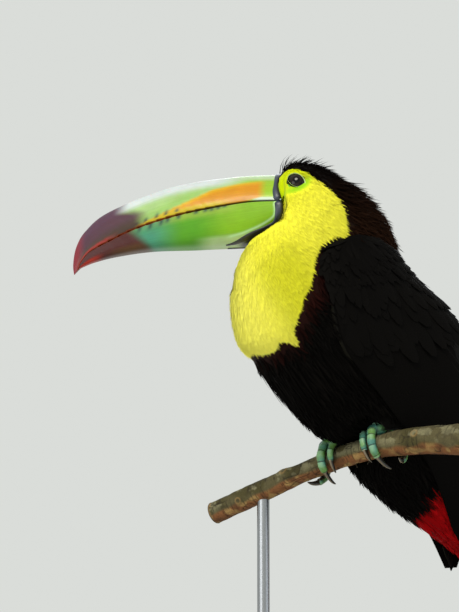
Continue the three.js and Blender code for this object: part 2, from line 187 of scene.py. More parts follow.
# Flight feathers: firm webs of parallel barbs either side of a shaft, with a dull satin shine.
def flightFeather():
    material, tree, shader = newMaterial("flight_feather_web", Roughness=0.5, IOR=1.25,
                                         Specular_IOR_Level=0.14)
    web = addNode(tree, "UVMap", uv_map="web").outputs["UV"]
    barbSpacing = 0.6  # mm; real barbs are 0.3 mm apart, drawn coarser so that they show
    barbs = addNode(tree, "TexWave", {"Vector": web, "Scale": math.pi / 10 / barbSpacing,
                                      "Distortion": 1.5, "Detail": 2, "Detail Scale": 1.5},
                    bands_direction="Y").outputs["Fac"]
    usePaint(tree, shader, between(tree, barbs, 0.8, 1.2))
    addRelief(tree, shader, barbs, 0.35, 0.15)
    return material


# ---- meshes ----
# Faces of `count` like lofts, each a start point, rows x ring points and an end point.
def loftFaces(rows, ring, count=1):
    size = rows * ring + 2
    row, col = np.meshgrid(np.arange(rows - 1), np.arange(ring), indexing="ij")
    turn = (col + 1) % ring
    quads = np.stack([row * ring + col, row * ring + turn, (row + 1) * ring + turn,
                      (row + 1) * ring + col], -1).reshape(-1, 4) + 1
    col = np.arange(ring)
    turn = (col + 1) % ring
    first = np.stack([0 * col, turn + 1, col + 1], -1)
    lastRow = (rows - 1) * ring + 1
    last = np.stack([0 * col + size - 1, lastRow + col, lastRow + turn], -1)
    starts = (np.arange(count) * size)[:, None, None]
    return [(quads + starts).reshape(-1, 4), (np.concatenate([first, last]) + starts).reshape(-1, 3)]


def flipInward(points, faces):  # turns the faces round where they enclose a negative volume
    volume = 0
    for block in faces:
        for k in range(1, block.shape[1] - 1):
            a, b, c = points[block[:, 0]], points[block[:, k]], points[block[:, k + 1]]
            volume += np.einsum("ij,ij->", a, np.cross(b, c))
    return [block[:, ::-1] for block in faces] if volume < 0 else faces


def makePiece(name, points, faces, material, slot, nodes=(), coat=None, maps=None, lean=None,
              even=0.55, level=None):
    points = points.reshape(-1, 3) + [0, 0, bird["perchLevel"] if level is None else level]
    faces = flipInward(points, faces)
    corners = np.concatenate([block.ravel() for block in faces])
    sides = np.concatenate([np.full(len(block), block.shape[1]) for block in faces])
    mesh = bpy.data.meshes.new(name)
    mesh.vertices.add(len(points))
    mesh.vertices.foreach_set("co", (points * mm).astype(np.float32).ravel())
    mesh.loops.add(len(corners))
    mesh.loops.foreach_set("vertex_index", corners.astype(np.int32))
    mesh.polygons.add(len(sides))
    mesh.polygons.foreach_set("loop_start", (np.cumsum(sides) - sides).astype(np.int32))
    mesh.update(calc_edges=True)
    mesh.polygons.foreach_set("use_smooth", np.ones(len(sides), bool))
    if coat is not None:
        paint = mesh.color_attributes.new("coat", "FLOAT_COLOR", "POINT")
        rgba = np.concatenate([coat.reshape(-1, 3), np.ones((len(points), 1))], 1)
        paint.data.foreach_set("color", rgba.astype(np.float32).ravel())
    for mapName, places in (maps or {}).items():
        layer = mesh.uv_layers.new(name=mapName)
        layer.data.foreach_set("uv", places.reshape(-1, 2)[corners].astype(np.float32).ravel())
    if lean is not None:  # feathers are lit partly as the smooth coat that they make up
        own = np.empty(len(points) * 3, np.float32)
        mesh.vertex_normals.foreach_get("vector", own)
        mesh.normals_split_custom_set_from_vertices(
            unit(own.reshape(-1, 3) * (1 - even) + lean.reshape(-1, 3) * even))
    mesh.materials.append(material)
    piece = bpy.data.objects.new(name, mesh)
    bpy.context.collection.objects.link(piece)
    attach(piece, "root")
    if nodes:
        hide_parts(*nodes)
    triangles[name] = int((sides - 2).sum())
    return piece


triangles = {}


# A surface as a grid of points, read anywhere between them; u runs along it and v round or across.
class Sheet:
    def __init__(self, place, rows, columns, wrapped, outward=None):
        self.wrapped = wrapped
        u = rowsOf(rows, columns)
        v = np.ones((rows, 1)) * np.arange(columns) / (columns if wrapped else columns - 1)
        self.u, self.v = u, v
        self.points = place(u, v)
        self.alongU = np.gradient(self.points, axis=0) * (rows - 1)
        if wrapped:
            ahead, behind = np.roll(self.points, -1, 1), np.roll(self.points, 1, 1)
            self.alongV = (ahead - behind) * columns / 2
        else:
            self.alongV = np.gradient(self.points, axis=1) * (columns - 1)
        self.normals = unit(np.cross(self.alongU, self.alongV))
        away = self.points - self.points.mean(1, keepdims=True) if outward is None else outward
        if (self.normals * away).sum() < 0:
            self.normals = -self.normals

    def read(self, grid, u, v):
        rows, columns = grid.shape[:2]
        x = np.asarray(u) * (rows - 1)
        i = np.clip(np.floor(x).astype(int), 0, rows - 2)
        if self.wrapped:
            y = np.asarray(v) * columns
            j = np.floor(y).astype(int)
            left, right = j % columns, (j + 1) % columns
        else:
            y = np.asarray(v) * (columns - 1)
            j = np.clip(np.floor(y).astype(int), 0, columns - 2)
            left, right = j, j + 1
        a, b = (x - i)[..., None], (y - j)[..., None]
        near = grid[i, left] * (1 - b) + grid[i, right] * b
        far = grid[i + 1, left] * (1 - b) + grid[i + 1, right] * b
        return near * (1 - a) + far * a

    def at(self, u, v, height=0.0):
        lifted = unit(self.read(self.normals, u, v)) * np.asarray(height)[..., None]
        return self.read(self.points, u, v) + lifted

    # Scattered roots about `spacing` mm apart where `inside` says so: one for each small cube.
    def scatter(self, spacing, inside):
        area = np.linalg.norm(np.cross(self.alongU, self.alongV), axis=-1)
        weight = area * inside(self.u, self.v, self.points)
        total = weight.mean()
        count = int(9 * total / spacing ** 2) + 1
        picks = draws.choice(weight.size, count, p=weight.ravel() / weight.sum())
        shift = draws.uniform(-0.5, 0.5, (2, count))
        rows, columns = self.u.shape
        u = np.clip(self.u.ravel()[picks] + shift[0] / (rows - 1), 0, 1)
        v = self.v.ravel()[picks] + shift[1] / columns
        v = v % 1 if self.wrapped else np.clip(v, 0, 1)
        points = self.at(u, v)
        cube = np.floor(points / (spacing * 1.2)).astype(np.int64) + 4096
        key = (cube[:, 0] << 28) + (cube[:, 1] << 14) + cube[:, 2]
        firsts = np.sort(np.unique(key, return_index=True)[1])
        firsts = firsts[inside(u[firsts], v[firsts], points[firsts]) > draws.random(len(firsts))]
        return u[firsts], v[firsts]


# Lays one small closed feather at each root, following the sheet along u.
def layFeathers(name, sheet, u, v, coat, paint, material, slot, rise=1.0):
    count = len(u)
    jitter = draws.normal(size=(4, count))
    length = coat["length"] * np.clip(1 + 0.16 * jitter[0], 0.6, 1.5)
    width = coat["width"] * np.clip(1 + 0.14 * jitter[1], 0.6, 1.5)
    lift = coat["lift"] * rise * np.clip(1 + 0.5 * jitter[2], 0.1, 2.6)
    turn = coat["stray"] * jitter[3]
    stations = np.array([[0, 0], *coat["outline"], [1, 0]])
    shares, halves = stations[:, 0], stations[:, 1] / 2
    curl = coat.get("curl", 0.0) * draws.normal(size=count)
    way = turn[:, None] + curl[:, None] * shares
    reach = length[:, None] * shares
    sizeU = np.linalg.norm(sheet.read(sheet.alongU, u, v), axis=-1)[:, None]
    sizeV = np.linalg.norm(sheet.read(sheet.alongV, u, v), axis=-1)[:, None]
    placeU = u[:, None] + np.cos(way) * reach / np.maximum(sizeU, 20)
    placeV = v[:, None] + np.sin(way) * reach / np.maximum(sizeV, 6)
    height = -coat["sink"] + (lift + coat["sink"])[:, None] * shares ** coat.get("bend", 1.2)
    normals = unit(sheet.read(sheet.normals, placeU, placeV))
    middle = sheet.at(placeU, placeV, height)
    across = unit(np.cross(normals, np.gradient(middle, axis=1)))
    half = (width[:, None] * halves)[..., None]
    droop = normals * coat.get("droop", 0.12) * half
    sides = [middle - across * half - droop, middle + normals * half * coat["ridge"],
             middle + across * half - droop]
    ring = np.stack([side[:, 1:-1] for side in sides], 2)
    kept = ring.shape[1]
    points = np.concatenate([middle[:, :1], ring.reshape(count, -1, 3), middle[:, -1:]], 1)
    spread = lambda values: np.concatenate(
        [values[:, :1], np.repeat(values[:, 1:-1], 3, 1), values[:, -1:]], 1)
    tone = paint(u + np.cos(turn) * length * 0.6 / sizeU[:, 0], v, middle[:, len(shares) // 2])
    depth = spread(np.broadcast_to(shares, (count, len(shares))))
    # Painted shade: each feather is painted darker towards its root, where it lies deep in the coat; the
    # mottle is random tone.
    shade = (coat.get("rootShade", 0.8) + (1 - coat.get("rootShade", 0.8)) * depth) \
        * (1 + coat.get("mottle", 0.06) * draws.normal(size=(count, 1)))
    colours = np.clip(tone[:, None] * shade[..., None], 0, 1)
    low, high = np.array([v.min(), u.min()]), np.array([v.max(), u.max()])
    patch = 0.003  # how wide each feather's own patch of the map is
    root = np.stack([v, u], -1)
    root = 0.01 + 0.98 * (root - low) / np.maximum(high - low, 1e-6)
    local = np.stack([np.tile([0, *([-0.5, 0, 0.5] * kept), 0], (count, 1)), depth - 0.5], -1)
    return makePiece(name, points, loftFaces(kept, 3, count), material, slot, coat=colours,
                     maps={"OFBake": root[:, None] + patch * local}, lean=spread(normals),
                     even=coat.get("even", 0.55))


# ---- camera, light and ground ----
# Metres, with the sensor in mm; tall is the height of the picture at the target.
view = {"target": (-0.0649, 0.0375, 0.2884), "azimuth": -30, "elevation": -8, "distance": 1.5,
        "tall": 0.38556, "sensor": 36}


def makeCamera():
    turn, rise = math.radians(view["azimuth"]), math.radians(view["elevation"])
    back = Vector((math.sin(turn) * math.cos(rise), -math.cos(turn) * math.cos(rise), math.sin(rise)))
    lens = bpy.data.cameras.new("camera")
    lens.sensor_width = view["sensor"]
    lens.lens = view["sensor"] * view["distance"] / view["tall"]
    camera = bpy.data.objects.new("camera", lens)
    camera.location = Vector(view["target"]) + back * view["distance"]
    camera.rotation_euler = back.to_track_quat("Z", "Y").to_euler()
    bpy.context.collection.objects.link(camera)
    bpy.context.scene.camera = camera


lamps = {  # place in metres, width in metres, watts and tint
    "key": ((-0.8, -0.75, 1.3), 0.6, 16, "#FFF8EA"),
    "fill": ((0.9, -1.1, 0.45), 1.1, 3, "#EAF2FF"),
    "front": ((-1.4, -0.3, 0.35), 0.9, 5, "#FFFFFF"),
    "rim": ((0.75, 0.95, 0.95), 0.8, 6, "#F2F6FF"),
}


def makeLights():
    for name, (place, width, watts, tint) in lamps.items():
        light = bpy.data.lights.new(name, "AREA")
        light.shape = "DISK"
        light.size = width
        light.energy = watts
        light.color = hexColour(tint)
        lamp = bpy.data.objects.new(name, light)
        lamp.location = place
        aim = Vector(place) - Vector(view["target"])
        lamp.rotation_euler = aim.to_track_quat("Z", "Y").to_euler()
        bpy.context.collection.objects.link(lamp)
    world = bpy.data.worlds.new("pale_room")
    bpy.context.scene.world = world
    world.use_nodes = True
    sky = world.node_tree.nodes["Background"]
    sky.inputs["Color"].default_value = (*hexColour("#E9ECE8"), 1)
    sky.inputs["Strength"].default_value = 0.86
    bpy.context.scene.view_settings.view_transform = "Standard"


# Floor: matt paper, pale and even, so the shadow of the stand is all that shows on it.
def makeFloor():
    bpy.ops.mesh.primitive_circle_add(vertices=96, radius=6, fill_type="NGON")
    floor = bpy.context.object
    floor.name = "floor"
    material, tree, shader = newMaterial("matt_paper", Roughness=0.9)
    grain = addNode(tree, "TexNoise", {"Scale": 90, "Detail": 4})
    tone = colourRamp(tree, grain.outputs["Fac"], (0.3, "#DADBD8"), (0.7, "#E2E3E0"))
    tree.links.new(tone, shader.inputs["Base Color"])
    floor.data.materials.append(material)


makeCamera()
makeLights()
makeFloor()
print("camera, light and floor")


# ---- the bird's form ----
bird = {"perchLevel": 200, "neckPivot": (-22, 0), "headTurn": 36, "headRoll": 6, "rollCentre": 150}

# Sections from the back line to the front line: back x, z, front x, z, half width, taper, turn.
bodySections = [
    (-24, 171, -22.5, 138, 15.5, 0.15, 36),  # bill base
    (-15, 177, -24, 131, 20, 0.3, 36),  # brow and chin
    (3, 175, -46, 121, 25, 0.2, 36),  # crown and throat
    (23, 163, -57.5, 91, 35, 0, 20),  # nape and bib
    (44.5, 144.5, -55, 60, 42, -0.06, 5),  # mantle and breast
    (52.5, 130.5, -42, 46, 43, -0.06, 0),
    (60, 115, -29, 32, 43, 0, 0),  # back and belly
    (96, 86, 12, -6, 41, 0.2, 0),
    (120, 44, 50, -36, 34, 0.2, 0),  # lower back and vent
    (134, -4, 86, -56, 24, 0.1, 0),  # rump
    (141, -42, 121, -78, 19, 0, 0),
    (150, -72, 155, -104, 13, 0, 0),  # ends of the tail coverts
]
# The bill's rear edge from chin to brow. From `fade` mm behind it to `clear` mm behind it, the
# flesh narrows to `half`, so that it lies inside the bill.
billSeat = {"up": [120, 124, 127.5, 134, 143, 151, 175],
            "back": [-58, -50, -38, -26, -21.5, -22, -24],
            "half": [3, 5.5, 8, 10.5, 14, 15.5, 15.5],
            "fade": [6, 6, 6, 6, 5, 3.5, 3], "clear": 1.5, "end": 0.27}
eye = {"radius": 7.5, "back": -12.7, "up": 158.5, "side": 16.5, "rows": 60, "ring": 64}


# A place given backward, sideways and up in a plane turned about the neck, and rolled with it.
def turned(back, side, up, turn):
    angle = np.radians(turn)
    roll = np.radians(bird["headRoll"] * turn / bird["headTurn"])
    high = up - bird["rollCentre"]
    aside = side * np.cos(roll) + high * np.sin(roll)
    return np.stack([
        bird["neckPivot"][0] + back * np.cos(angle) + aside * np.sin(angle),
        bird["neckPivot"][1] - back * np.sin(angle) + aside * np.cos(angle),
        bird["rollCentre"] + high * np.cos(roll) - side * np.sin(roll),
    ], -1)


def onHead(back, side, up):
    back, side, up = np.broadcast_arrays(*np.atleast_1d(back, side, up))
    return turned(back, side, up, bird["headTurn"])


def headPlace(points):  # the other way: backward, sideways and up in the head's own plane
    turn, roll = math.radians(bird["headTurn"]), math.radians(bird["headRoll"])
    offset = points - [*bird["neckPivot"], bird["rollCentre"]]
    back = offset[..., 0] * math.cos(turn) - offset[..., 1] * math.sin(turn)
    aside = offset[..., 0] * math.sin(turn) + offset[..., 1] * math.cos(turn)
    up = offset[..., 2] * math.cos(roll) + aside * math.sin(roll)
    return back, aside * math.cos(roll) - offset[..., 2] * math.sin(roll), up + bird["rollCentre"]


def beforeSeat(back, up):  # how far a place lies in front of the bill's rear edge
    return np.interp(up, billSeat["up"], billSeat["back"]) - back


def bodyPoint(share, angle, extra=0.0):  # angle in radians from the back line
    section = spline(bodySections, share)
    back, front = section[..., 0:2], section[..., 2:4]
    depth = np.linalg.norm(back - front, axis=-1)
    reach = (depth / 2 + extra) * np.cos(angle)
    place = (back + front) / 2 + unit(back - front) * reach[..., None]
    wide = (section[..., 4] + extra) * np.sin(angle) * (1 + section[..., 5] * np.cos(angle))
    points = turned(place[..., 0], wide, place[..., 1], section[..., 6])
    back, aside, up = headPlace(points)
    half, fade = (np.interp(up, billSeat["up"], billSeat[size]) for size in ("half", "fade"))
    tuck = smooth((beforeSeat(back, up) + fade) / (fade - billSeat["clear"]), 0, 1)
    over = np.clip(np.abs(aside) - half, 0, None) * tuck * (share < billSeat["end"])
    tucked = onHead(back, aside - np.sign(aside) * over, up)
    return np.where((over > 0)[..., None], tucked, points)


# ---- perch line ----
perch = {"line": [(-43.5, 93.3, -38.5), (-15.7, 33.6, -15.9), (-0.5, 1, -5.5), (10.3, -22.2, -1),
                  (24.5, -52.6, 1.1), (46.4, -99.5, -3.2)],
         "radii": [7.5, 6.9, 6.6, 7.2, 9.2, 9.6], "steps": 400, "margin": 2.2}
feet = {"left": 130, "right": 95}  # mm along the perch from its right end
footHollow = {"ahead": 13, "sunk": 1, "half": (12, 16, 11)}  # half sizes along, ahead and up


# A centripetal curve through points, as evenly spaced samples of place and distance.
def evenCurve(points, steps):
    points = np.array(points, float)
    points = np.concatenate([[2 * points[0] - points[1]], points, [2 * points[-1] - points[-2]]])
    pieces = []
    for a, b, c, d in zip(points, points[1:], points[2:], points[3:]):
        first, second, third = (np.linalg.norm(q - p) ** 0.5 for p, q in ((a, b), (b, c), (c, d)))
        leave = ((b - a) / first - (c - a) / (first + second) + (c - b) / second) * second
        arrive = ((c - b) / second - (d - b) / (second + third) + (d - c) / third) * second
        rest = np.linspace(0, 1, steps, endpoint=False)[:, None]
        pieces.append(b + leave * rest + (3 * c - 3 * b - 2 * leave - arrive) * rest ** 2
                      + (2 * b - 2 * c + leave + arrive) * rest ** 3)
    path = np.concatenate([*pieces, points[-2:-1]])
    travelled = travel(path)
    even = np.linspace(0, travelled[-1], steps)
    return np.stack([np.interp(even, travelled, path[:, k]) for k in range(3)], -1), travelled[-1]


perchPath, perchLength = evenCurve(perch["line"], perch["steps"])
perchAlong = unit(np.gradient(perchPath, axis=0))
perchForward = unit(np.stack([perchAlong[:, 1], -perchAlong[:, 0], 0 * perchAlong[:, 0]], -1))
perchUp = np.cross(perchForward, perchAlong)
perchUp *= np.sign(perchUp[:, 2:])


# The perch at a distance along it: middle, along, forward, up and radius.
def perchFrame(distance):
    place = np.clip(np.asarray(distance, float) / perchLength, 0, 1) * (perch["steps"] - 1)
    i = np.minimum(place.astype(int), perch["steps"] - 2)
    rest = (place - i)[..., None]
    middle, along, forward, up = (grid[i] * (1 - rest) + grid[i + 1] * rest
                                  for grid in (perchPath, perchAlong, perchForward, perchUp))
    radius = spline(perch["radii"], np.asarray(distance, float) / perchLength)[..., 0]
    return middle, unit(along), unit(forward), unit(up), radius


# Moves points off the perch and out of the hollows that the feet stand in.
def clearOfPerch(points, margin):
    shape = points.shape
    points = points.reshape(-1, 3).copy()
    stations = np.linspace(0, perchLength, 80)
    middle, along, forward, up, radius = perchFrame(stations)
    off = np.abs(np.einsum("nd,kd->nk", points, along) - (middle * along).sum(1))
    near = off.argmin(1)
    offset = points - middle[near]
    ahead = (offset * forward[near]).sum(1) + radius[near] + margin
    below = radius[near] + margin - (offset * up[near]).sum(1)
    push = np.minimum(ahead, below)
    push = np.where((push > 0) & (off[np.arange(len(near)), near] < 6), push, 0)[:, None]
    points += push * (up[near] - forward[near])
    for foot in feet.values():
        middle, along, forward, up, radius = perchFrame(foot)
        centre = middle + forward * footHollow["ahead"] + up * (radius - footHollow["sunk"])
        axes = np.stack([way / half for way, half in zip((along, forward, up), footHollow["half"])])
        local = (points - centre) @ axes.T
        far = np.linalg.norm(local, axis=1)
        grow = np.where(far < 1, 1 / np.maximum(far, 0.2), 1)[:, None]
        points = centre + (points - centre) * grow
    return points.reshape(shape)


# The skin lies under the coat: close on the face, deeper on the body.
def coatDepth(share):
    return 0.7 + 1.5 * smooth(share, 0.1, 0.26)


def skinPlace(share, v):
    return clearOfPerch(bodyPoint(share, v * 2 * np.pi, -coatDepth(share)), perch["margin"])


skin = Sheet(skinPlace, 340, 240, True)


# ---- markings, the same on skin and coat ----
plumage = palette(
    black="#080706", crown="#080504", nape="#20120A", breastSide="#1A0806",
    bib="#EFE93C", bibPale="#F8F260", bibDeep="#C2C21A", face="#CACF00",
    lore="#B9C800", lime="#71B718", chin="#6E6A14", red="#96090D", white="#F1EEE2",
)
# Where the bib ends along the body, for each angle from the back line in degrees.
bibEdge = [(43, -0.1), (44.5, 0.05), (46.5, 0.15), (47.5, 0.245), (51, 0.275), (55, 0.292),
           (61, 0.307), (71, 0.328), (77, 0.316), (88, 0.311), (97, 0.32), (103, 0.333),
           (110, 0.348), (118, 0.357), (124, 0.372), (131, 0.388), (137, 0.405), (142, 0.452),
           (146, 0.42), (150, 0.41), (158, 0.428), (170, 0.422), (180, 0.405)]
eyeCentres = np.concatenate([onHead(eye["back"], side * eye["side"], eye["up"]) for side in (-1, 1)])


def bodyColour(share, v, points):
    p = plumage
    angle = np.abs((v * 360 + 180) % 360 - 180)
    edge = np.interp(angle, *zip(*bibEdge))
    colour = np.broadcast_to(p["black"], (*share.shape, 3))
    napeEnd = np.interp(angle, [0, 40, 54, 68, 73, 80], [0.475, 0.475, 0.468, 0.367, 0.33, 0.3])
    napeTone = mix(p["crown"], p["nape"], smooth(share, 0.2, 0.38))
    colour = mix(colour, napeTone, (1 - smooth(share, napeEnd - 0.012, napeEnd + 0.012))
                 * (1 - smooth(angle, 78, 90)))
    besideBib = (1 - smooth(share - edge, 0.02, 0.06)) * smooth(angle, 84, 100) * (share > edge)
    colour = mix(colour, p["breastSide"], besideBib)
    redStart = np.interp(angle, [110, 140, 180], [0.738, 0.755, 0.775])
    colour = mix(colour, p["red"], smooth(share, redStart, redStart + 0.014) * smooth(angle, 110, 118))
    colour = mix(colour, p["white"], smooth(share, 0.8, 0.815) * (1 - smooth(angle, 70, 78)))
    bib = mix(p["face"], p["bib"], smooth(share, 0.13, 0.25))
    # Painted shade: the bib's sides are painted a deeper yellow.
    bib = mix(bib, p["bibDeep"], 0.7 * smooth(angle, 88, 112) * (1 - smooth(angle, 128, 150))
              * smooth(share, 0.23, 0.3))
    # Painted light: the front of the bib is painted paler.
    front = smooth(angle, 120, 165) * smooth(share, 0.12, 0.3)
    bib = mix(bib, p["bibPale"], 0.8 * front)
    bib = mix(bib, p["lore"], (1 - smooth(share, 0.02, 0.12)) * 0.8)
    back, _, up = headPlace(points)
    # Painted shade: low under the bill, near its rear edge, the chin is painted dark olive.
    chin = (1 - smooth(up, 134, 139)) * smooth(beforeSeat(back, up), -9, -5)
    bib = mix(bib, p["chin"], chin * (share < billSeat["end"]))
    away = np.min([np.linalg.norm(points - centre, axis=-1) for centre in eyeCentres], axis=0)
    behind = smooth(back - eye["back"] - (up - eye["up"]) * 1.4, -6, 8)
    bib = mix(bib, p["lime"], 0.85 * (1 - smooth(away, 9.5, 13.5)) * (0.2 + 0.8 * behind))
    return mix(bib, colour, smooth(share, edge - 0.002, edge + 0.002))


def makeSkin():
    rows, columns = skin.u.shape
    points = skin.points.copy()
    taper = np.sqrt(np.clip(1 - ((skin.u - 0.965) / 0.036).clip(0) ** 2, 0.02, 1))[..., None]
    points = points.mean(1, keepdims=True) * (1 - taper) + points * taper
    colours = bodyColour(skin.u, skin.v, skin.points) * 0.92
    tones = np.concatenate([colours[0, :1], colours.reshape(-1, 3), colours[-1, :1]])
    material = featherCoat("down_covered_skin", 1.2, 0.1, 0.4, Roughness=0.8, Sheen_Weight=0.05,
                           Specular_IOR_Level=0.15)
    makePiece("skin", closed(points), loftFaces(rows, columns), material, "yellow_feather",
              ("head", "neck", "trunk", "uppertail_coverts", "undertail_coverts"), coat=tones)


makeSkin()
print("skin")


# ---- the coat ----
def foldAngle(v):  # degrees from the back line, the same on both sides
    return np.abs((v * 360 + 180) % 360 - 180)


def edgeOf(v):
    return np.interp(foldAngle(v), *zip(*bibEdge))


def shareOf(length, u, v):  # a length in mm as a share of the body, at a place
    return length / np.maximum(np.linalg.norm(skin.read(skin.alongU, u, v), axis=-1), 60)


# The wings cover this much of the flanks, so no feathers are laid there.
def underWing(u, v):
    low = np.interp(u, [0.36, 0.432, 0.53, 0.7, 0.76], [96, 108, 112, 112, 108])
    return (u > 0.37) & (u < 0.76) & (foldAngle(v) > 52) & (foldAngle(v) < low)


def bareRound(points):  # the naked ring of skin round each eye
    return np.min([np.linalg.norm((points - centre) * [1, 1, 1.15], axis=-1)
                   for centre in eyeCentres], axis=0) < 9.8


def behindBill(points, clear):  # True where a place is that far behind the bill's rear edge
    back, _, up = headPlace(points)
    return beforeSeat(back, up) < -clear - 5 * (1 - smooth(up, 130, 138))


shankMiddle = {"up": 6, "ahead": 3}  # mm from the perch


def awayFromFeet(points, clear):  # leaves the pad and the shank of each foot in view
    far = np.inf
    for foot in feet.values():
        middle, _, forward, up, radius = perchFrame(foot)
        centre = middle + up * (radius + shankMiddle["up"]) + forward * shankMiddle["ahead"]
        far = np.minimum(far, np.linalg.norm(points - centre, axis=-1))
    return far > clear


coats = {  # spacing, length, width, lift and sink in mm; outline is share along, share of width
    "face": {"spacing": 0.72, "length": 2.8, "width": 0.6, "lift": 0.22, "sink": 0.3, "stray": 0.14,
             "ridge": 0.25, "outline": [(0.3, 0.9), (0.7, 0.7)], "mottle": 0.03, "even": 0.85,
             "rootShade": 0.92},
    "cheek": {"spacing": 0.8, "length": 5.5, "width": 0.7, "lift": 0.5, "sink": 0.4, "stray": 0.08,
              "ridge": 0.25, "outline": [(0.25, 0.9), (0.7, 0.7)], "mottle": 0.03, "even": 0.82,
              "rootShade": 0.92},
    "bib": {"spacing": 0.88, "length": 7, "width": 0.78, "lift": 0.8, "sink": 0.5, "stray": 0.1,
            "ridge": 0.22, "outline": [(0.25, 0.9), (0.7, 0.7)], "mottle": 0.025, "even": 0.86,
            "rootShade": 0.92},
    "crown": {"spacing": 1.1, "length": 6.5, "width": 0.95, "lift": 1.0, "sink": 0.5, "stray": 0.14,
              "ridge": 0.4, "outline": [(0.2, 0.9), (0.5, 0.85), (0.8, 0.4)], "curl": 0.1,
              "bend": 1.0, "mottle": 0.15},
    "spike": {"spacing": 2.1, "length": 6.2, "width": 1.2, "lift": 4.3, "sink": 0.5, "stray": 0.12,
              "ridge": 0.5, "outline": [(0.2, 0.95), (0.5, 0.8), (0.8, 0.35)], "curl": 0.05,
              "bend": 0.85, "mottle": 0.15},
    "nape": {"spacing": 1.4, "length": 12, "width": 1.2, "lift": 2.2, "sink": 0.6, "stray": 0.2,
             "ridge": 0.4, "outline": [(0.2, 0.8), (0.55, 0.9), (0.85, 0.4)], "curl": 0.2,
             "bend": 1.3, "mottle": 0.22},
    "belly": {"spacing": 1.9, "length": 15, "width": 2.0, "lift": 1.7, "sink": 0.6, "stray": 0.14,
              "ridge": 0.3, "outline": [(0.25, 0.8), (0.6, 0.9), (0.85, 0.5)], "curl": 0.1,
              "mottle": 0.2},
    "back": {"spacing": 2.6, "length": 17, "width": 4.6, "lift": 1.5, "sink": 0.7, "stray": 0.07,
             "ridge": 0.12, "outline": [(0.2, 0.7), (0.55, 1), (0.85, 0.75)], "mottle": 0.12,
             "droop": 0.16},
    "covert": {"spacing": 2.6, "length": 24, "width": 4.4, "lift": 1.4, "sink": 0.8, "stray": 0.09,
               "ridge": 0.14, "outline": [(0.2, 0.7), (0.55, 1), (0.85, 0.7)], "mottle": 0.1,
               "droop": 0.15},
}

velvet = featherCoat("velvety_bib_feather", 0.8, 0.05, 0.12, Roughness=0.75, Sheen_Weight=0.03,
                     Specular_IOR_Level=0.03, Subsurface_Weight=0.2, Subsurface_Scale=1.2 * mm,
                     Subsurface_Radius=(1, 0.9, 0.3))
hairy = featherCoat("loose_crown_feather", 0.9, 0.15, 0.3, Roughness=0.7, Specular_IOR_Level=0.04)
contour = featherCoat("contour_feather", 1.0, 0.15, 0.3, Roughness=0.6, Specular_IOR_Level=0.05)


def insideFace(u, v, points):
    angle = foldAngle(v)
    return (u < 0.13) & (u < edgeOf(v)) & (angle > 44) & ~bareRound(points) & behindBill(points, 1)


def insideCheek(u, v, points):
    tip = u + shareOf(4.5, u, v)
    return (u >= 0.11) & (u < 0.265) & (tip < edgeOf(v)) & ~bareRound(points) \
        & behindBill(points, 2)


def insideBib(u, v, points):
    return (u >= 0.255) & (u + shareOf(6.5, u, v) < edgeOf(v) + 0.004)


def insideCrown(u, v, points):
    return (foldAngle(v) < 48) & (u < 0.25) & (u > edgeOf(v) - 0.01)


def insideNape(u, v, points):
    angle = foldAngle(v)
    end = np.interp(angle, [0, 54, 70, 80], [0.47, 0.46, 0.36, 0.3])
    return (angle < 82) & (u >= 0.235) & (u < end) & (u > edgeOf(v) + 0.001)


def insideBelly(u, v, points):
    angle = foldAngle(v)
    return (u > edgeOf(v) + 0.001) & (u < 0.745) & (angle > 74) & ~underWing(u, v) \
        & awayFromFeet(points, 17)


def insideBack(u, v, points):
    return (u > 0.44) & (u < 0.82) & (foldAngle(v) <= 76) & ~underWing(u, v)


def insideCoverts(u, v, points):
    angle = foldAngle(v)
    return ((u > 0.745) & (angle > 74) | (u > 0.8)) & (u < 0.985)


def yellowOnly(u, v, points):
    return bodyColour(np.minimum(u, edgeOf(v) - 0.006), v, points)


def darkOnly(u, v, points):
    return bodyColour(np.maximum(u, edgeOf(v) + 0.006), v, points)


def growCoat(name, coat, inside, paint, material, slot, rise=lambda u, v: 1.0):
    u, v = skin.scatter(coats[coat]["spacing"], inside)
    layFeathers(name, skin, u, v, coats[coat], paint, material, slot, rise(u, v))


# The crown stands up in spikes along its middle and lies flatter at its sides.
def crownRise(u, v):
    return 0.5 + 1.3 * np.exp(-(foldAngle(v) / 20) ** 2) * smooth(u, 0.0, 0.05)


def insideRidge(u, v, points):
    return (foldAngle(v) < 30) & (u < 0.27) & (u > edgeOf(v) - 0.012)


def spikeRise(u, v):  # tall over the brow, lower towards the nape
    return 1 - 0.55 * smooth(u, 0.1, 0.27)


def napeRise(u, v):  # fullest where the crown meets the neck
    return 1 + 0.7 * np.exp(-((u - 0.27) / 0.05) ** 2)


def halfOf(inside, sign):
    return lambda u, v, points: inside(u, v, points) & ((((v + 0.5) % 1) - 0.5) * sign >= 0)


growCoat("face_feathers", "face", insideFace, yellowOnly, velvet, "yellow_feather")
growCoat("cheek_feathers", "cheek", insideCheek, yellowOnly, velvet, "yellow_feather")
for side, sign in (("left", -1), ("right", 1)):
    growCoat(f"bib_feathers_{side}", "bib", halfOf(insideBib, sign), yellowOnly, velvet,
             "yellow_feather")
    growCoat(f"belly_feathers_{side}", "belly", halfOf(insideBelly, sign), darkOnly, contour,
             "black_feather")
growCoat("crown_feathers", "crown", insideCrown, darkOnly, hairy, "black_feather", rise=crownRise)
growCoat("crown_spikes", "spike", insideRidge, darkOnly, hairy, "black_feather", rise=spikeRise)
growCoat("nape_feathers", "nape", insideNape, darkOnly, hairy, "black_feather", rise=napeRise)
growCoat("back_feathers", "back", insideBack, darkOnly, contour, "black_feather")
growCoat("rump_and_vent_feathers", "covert", insideCoverts, darkOnly, contour, "black_feather")
print("body coat")


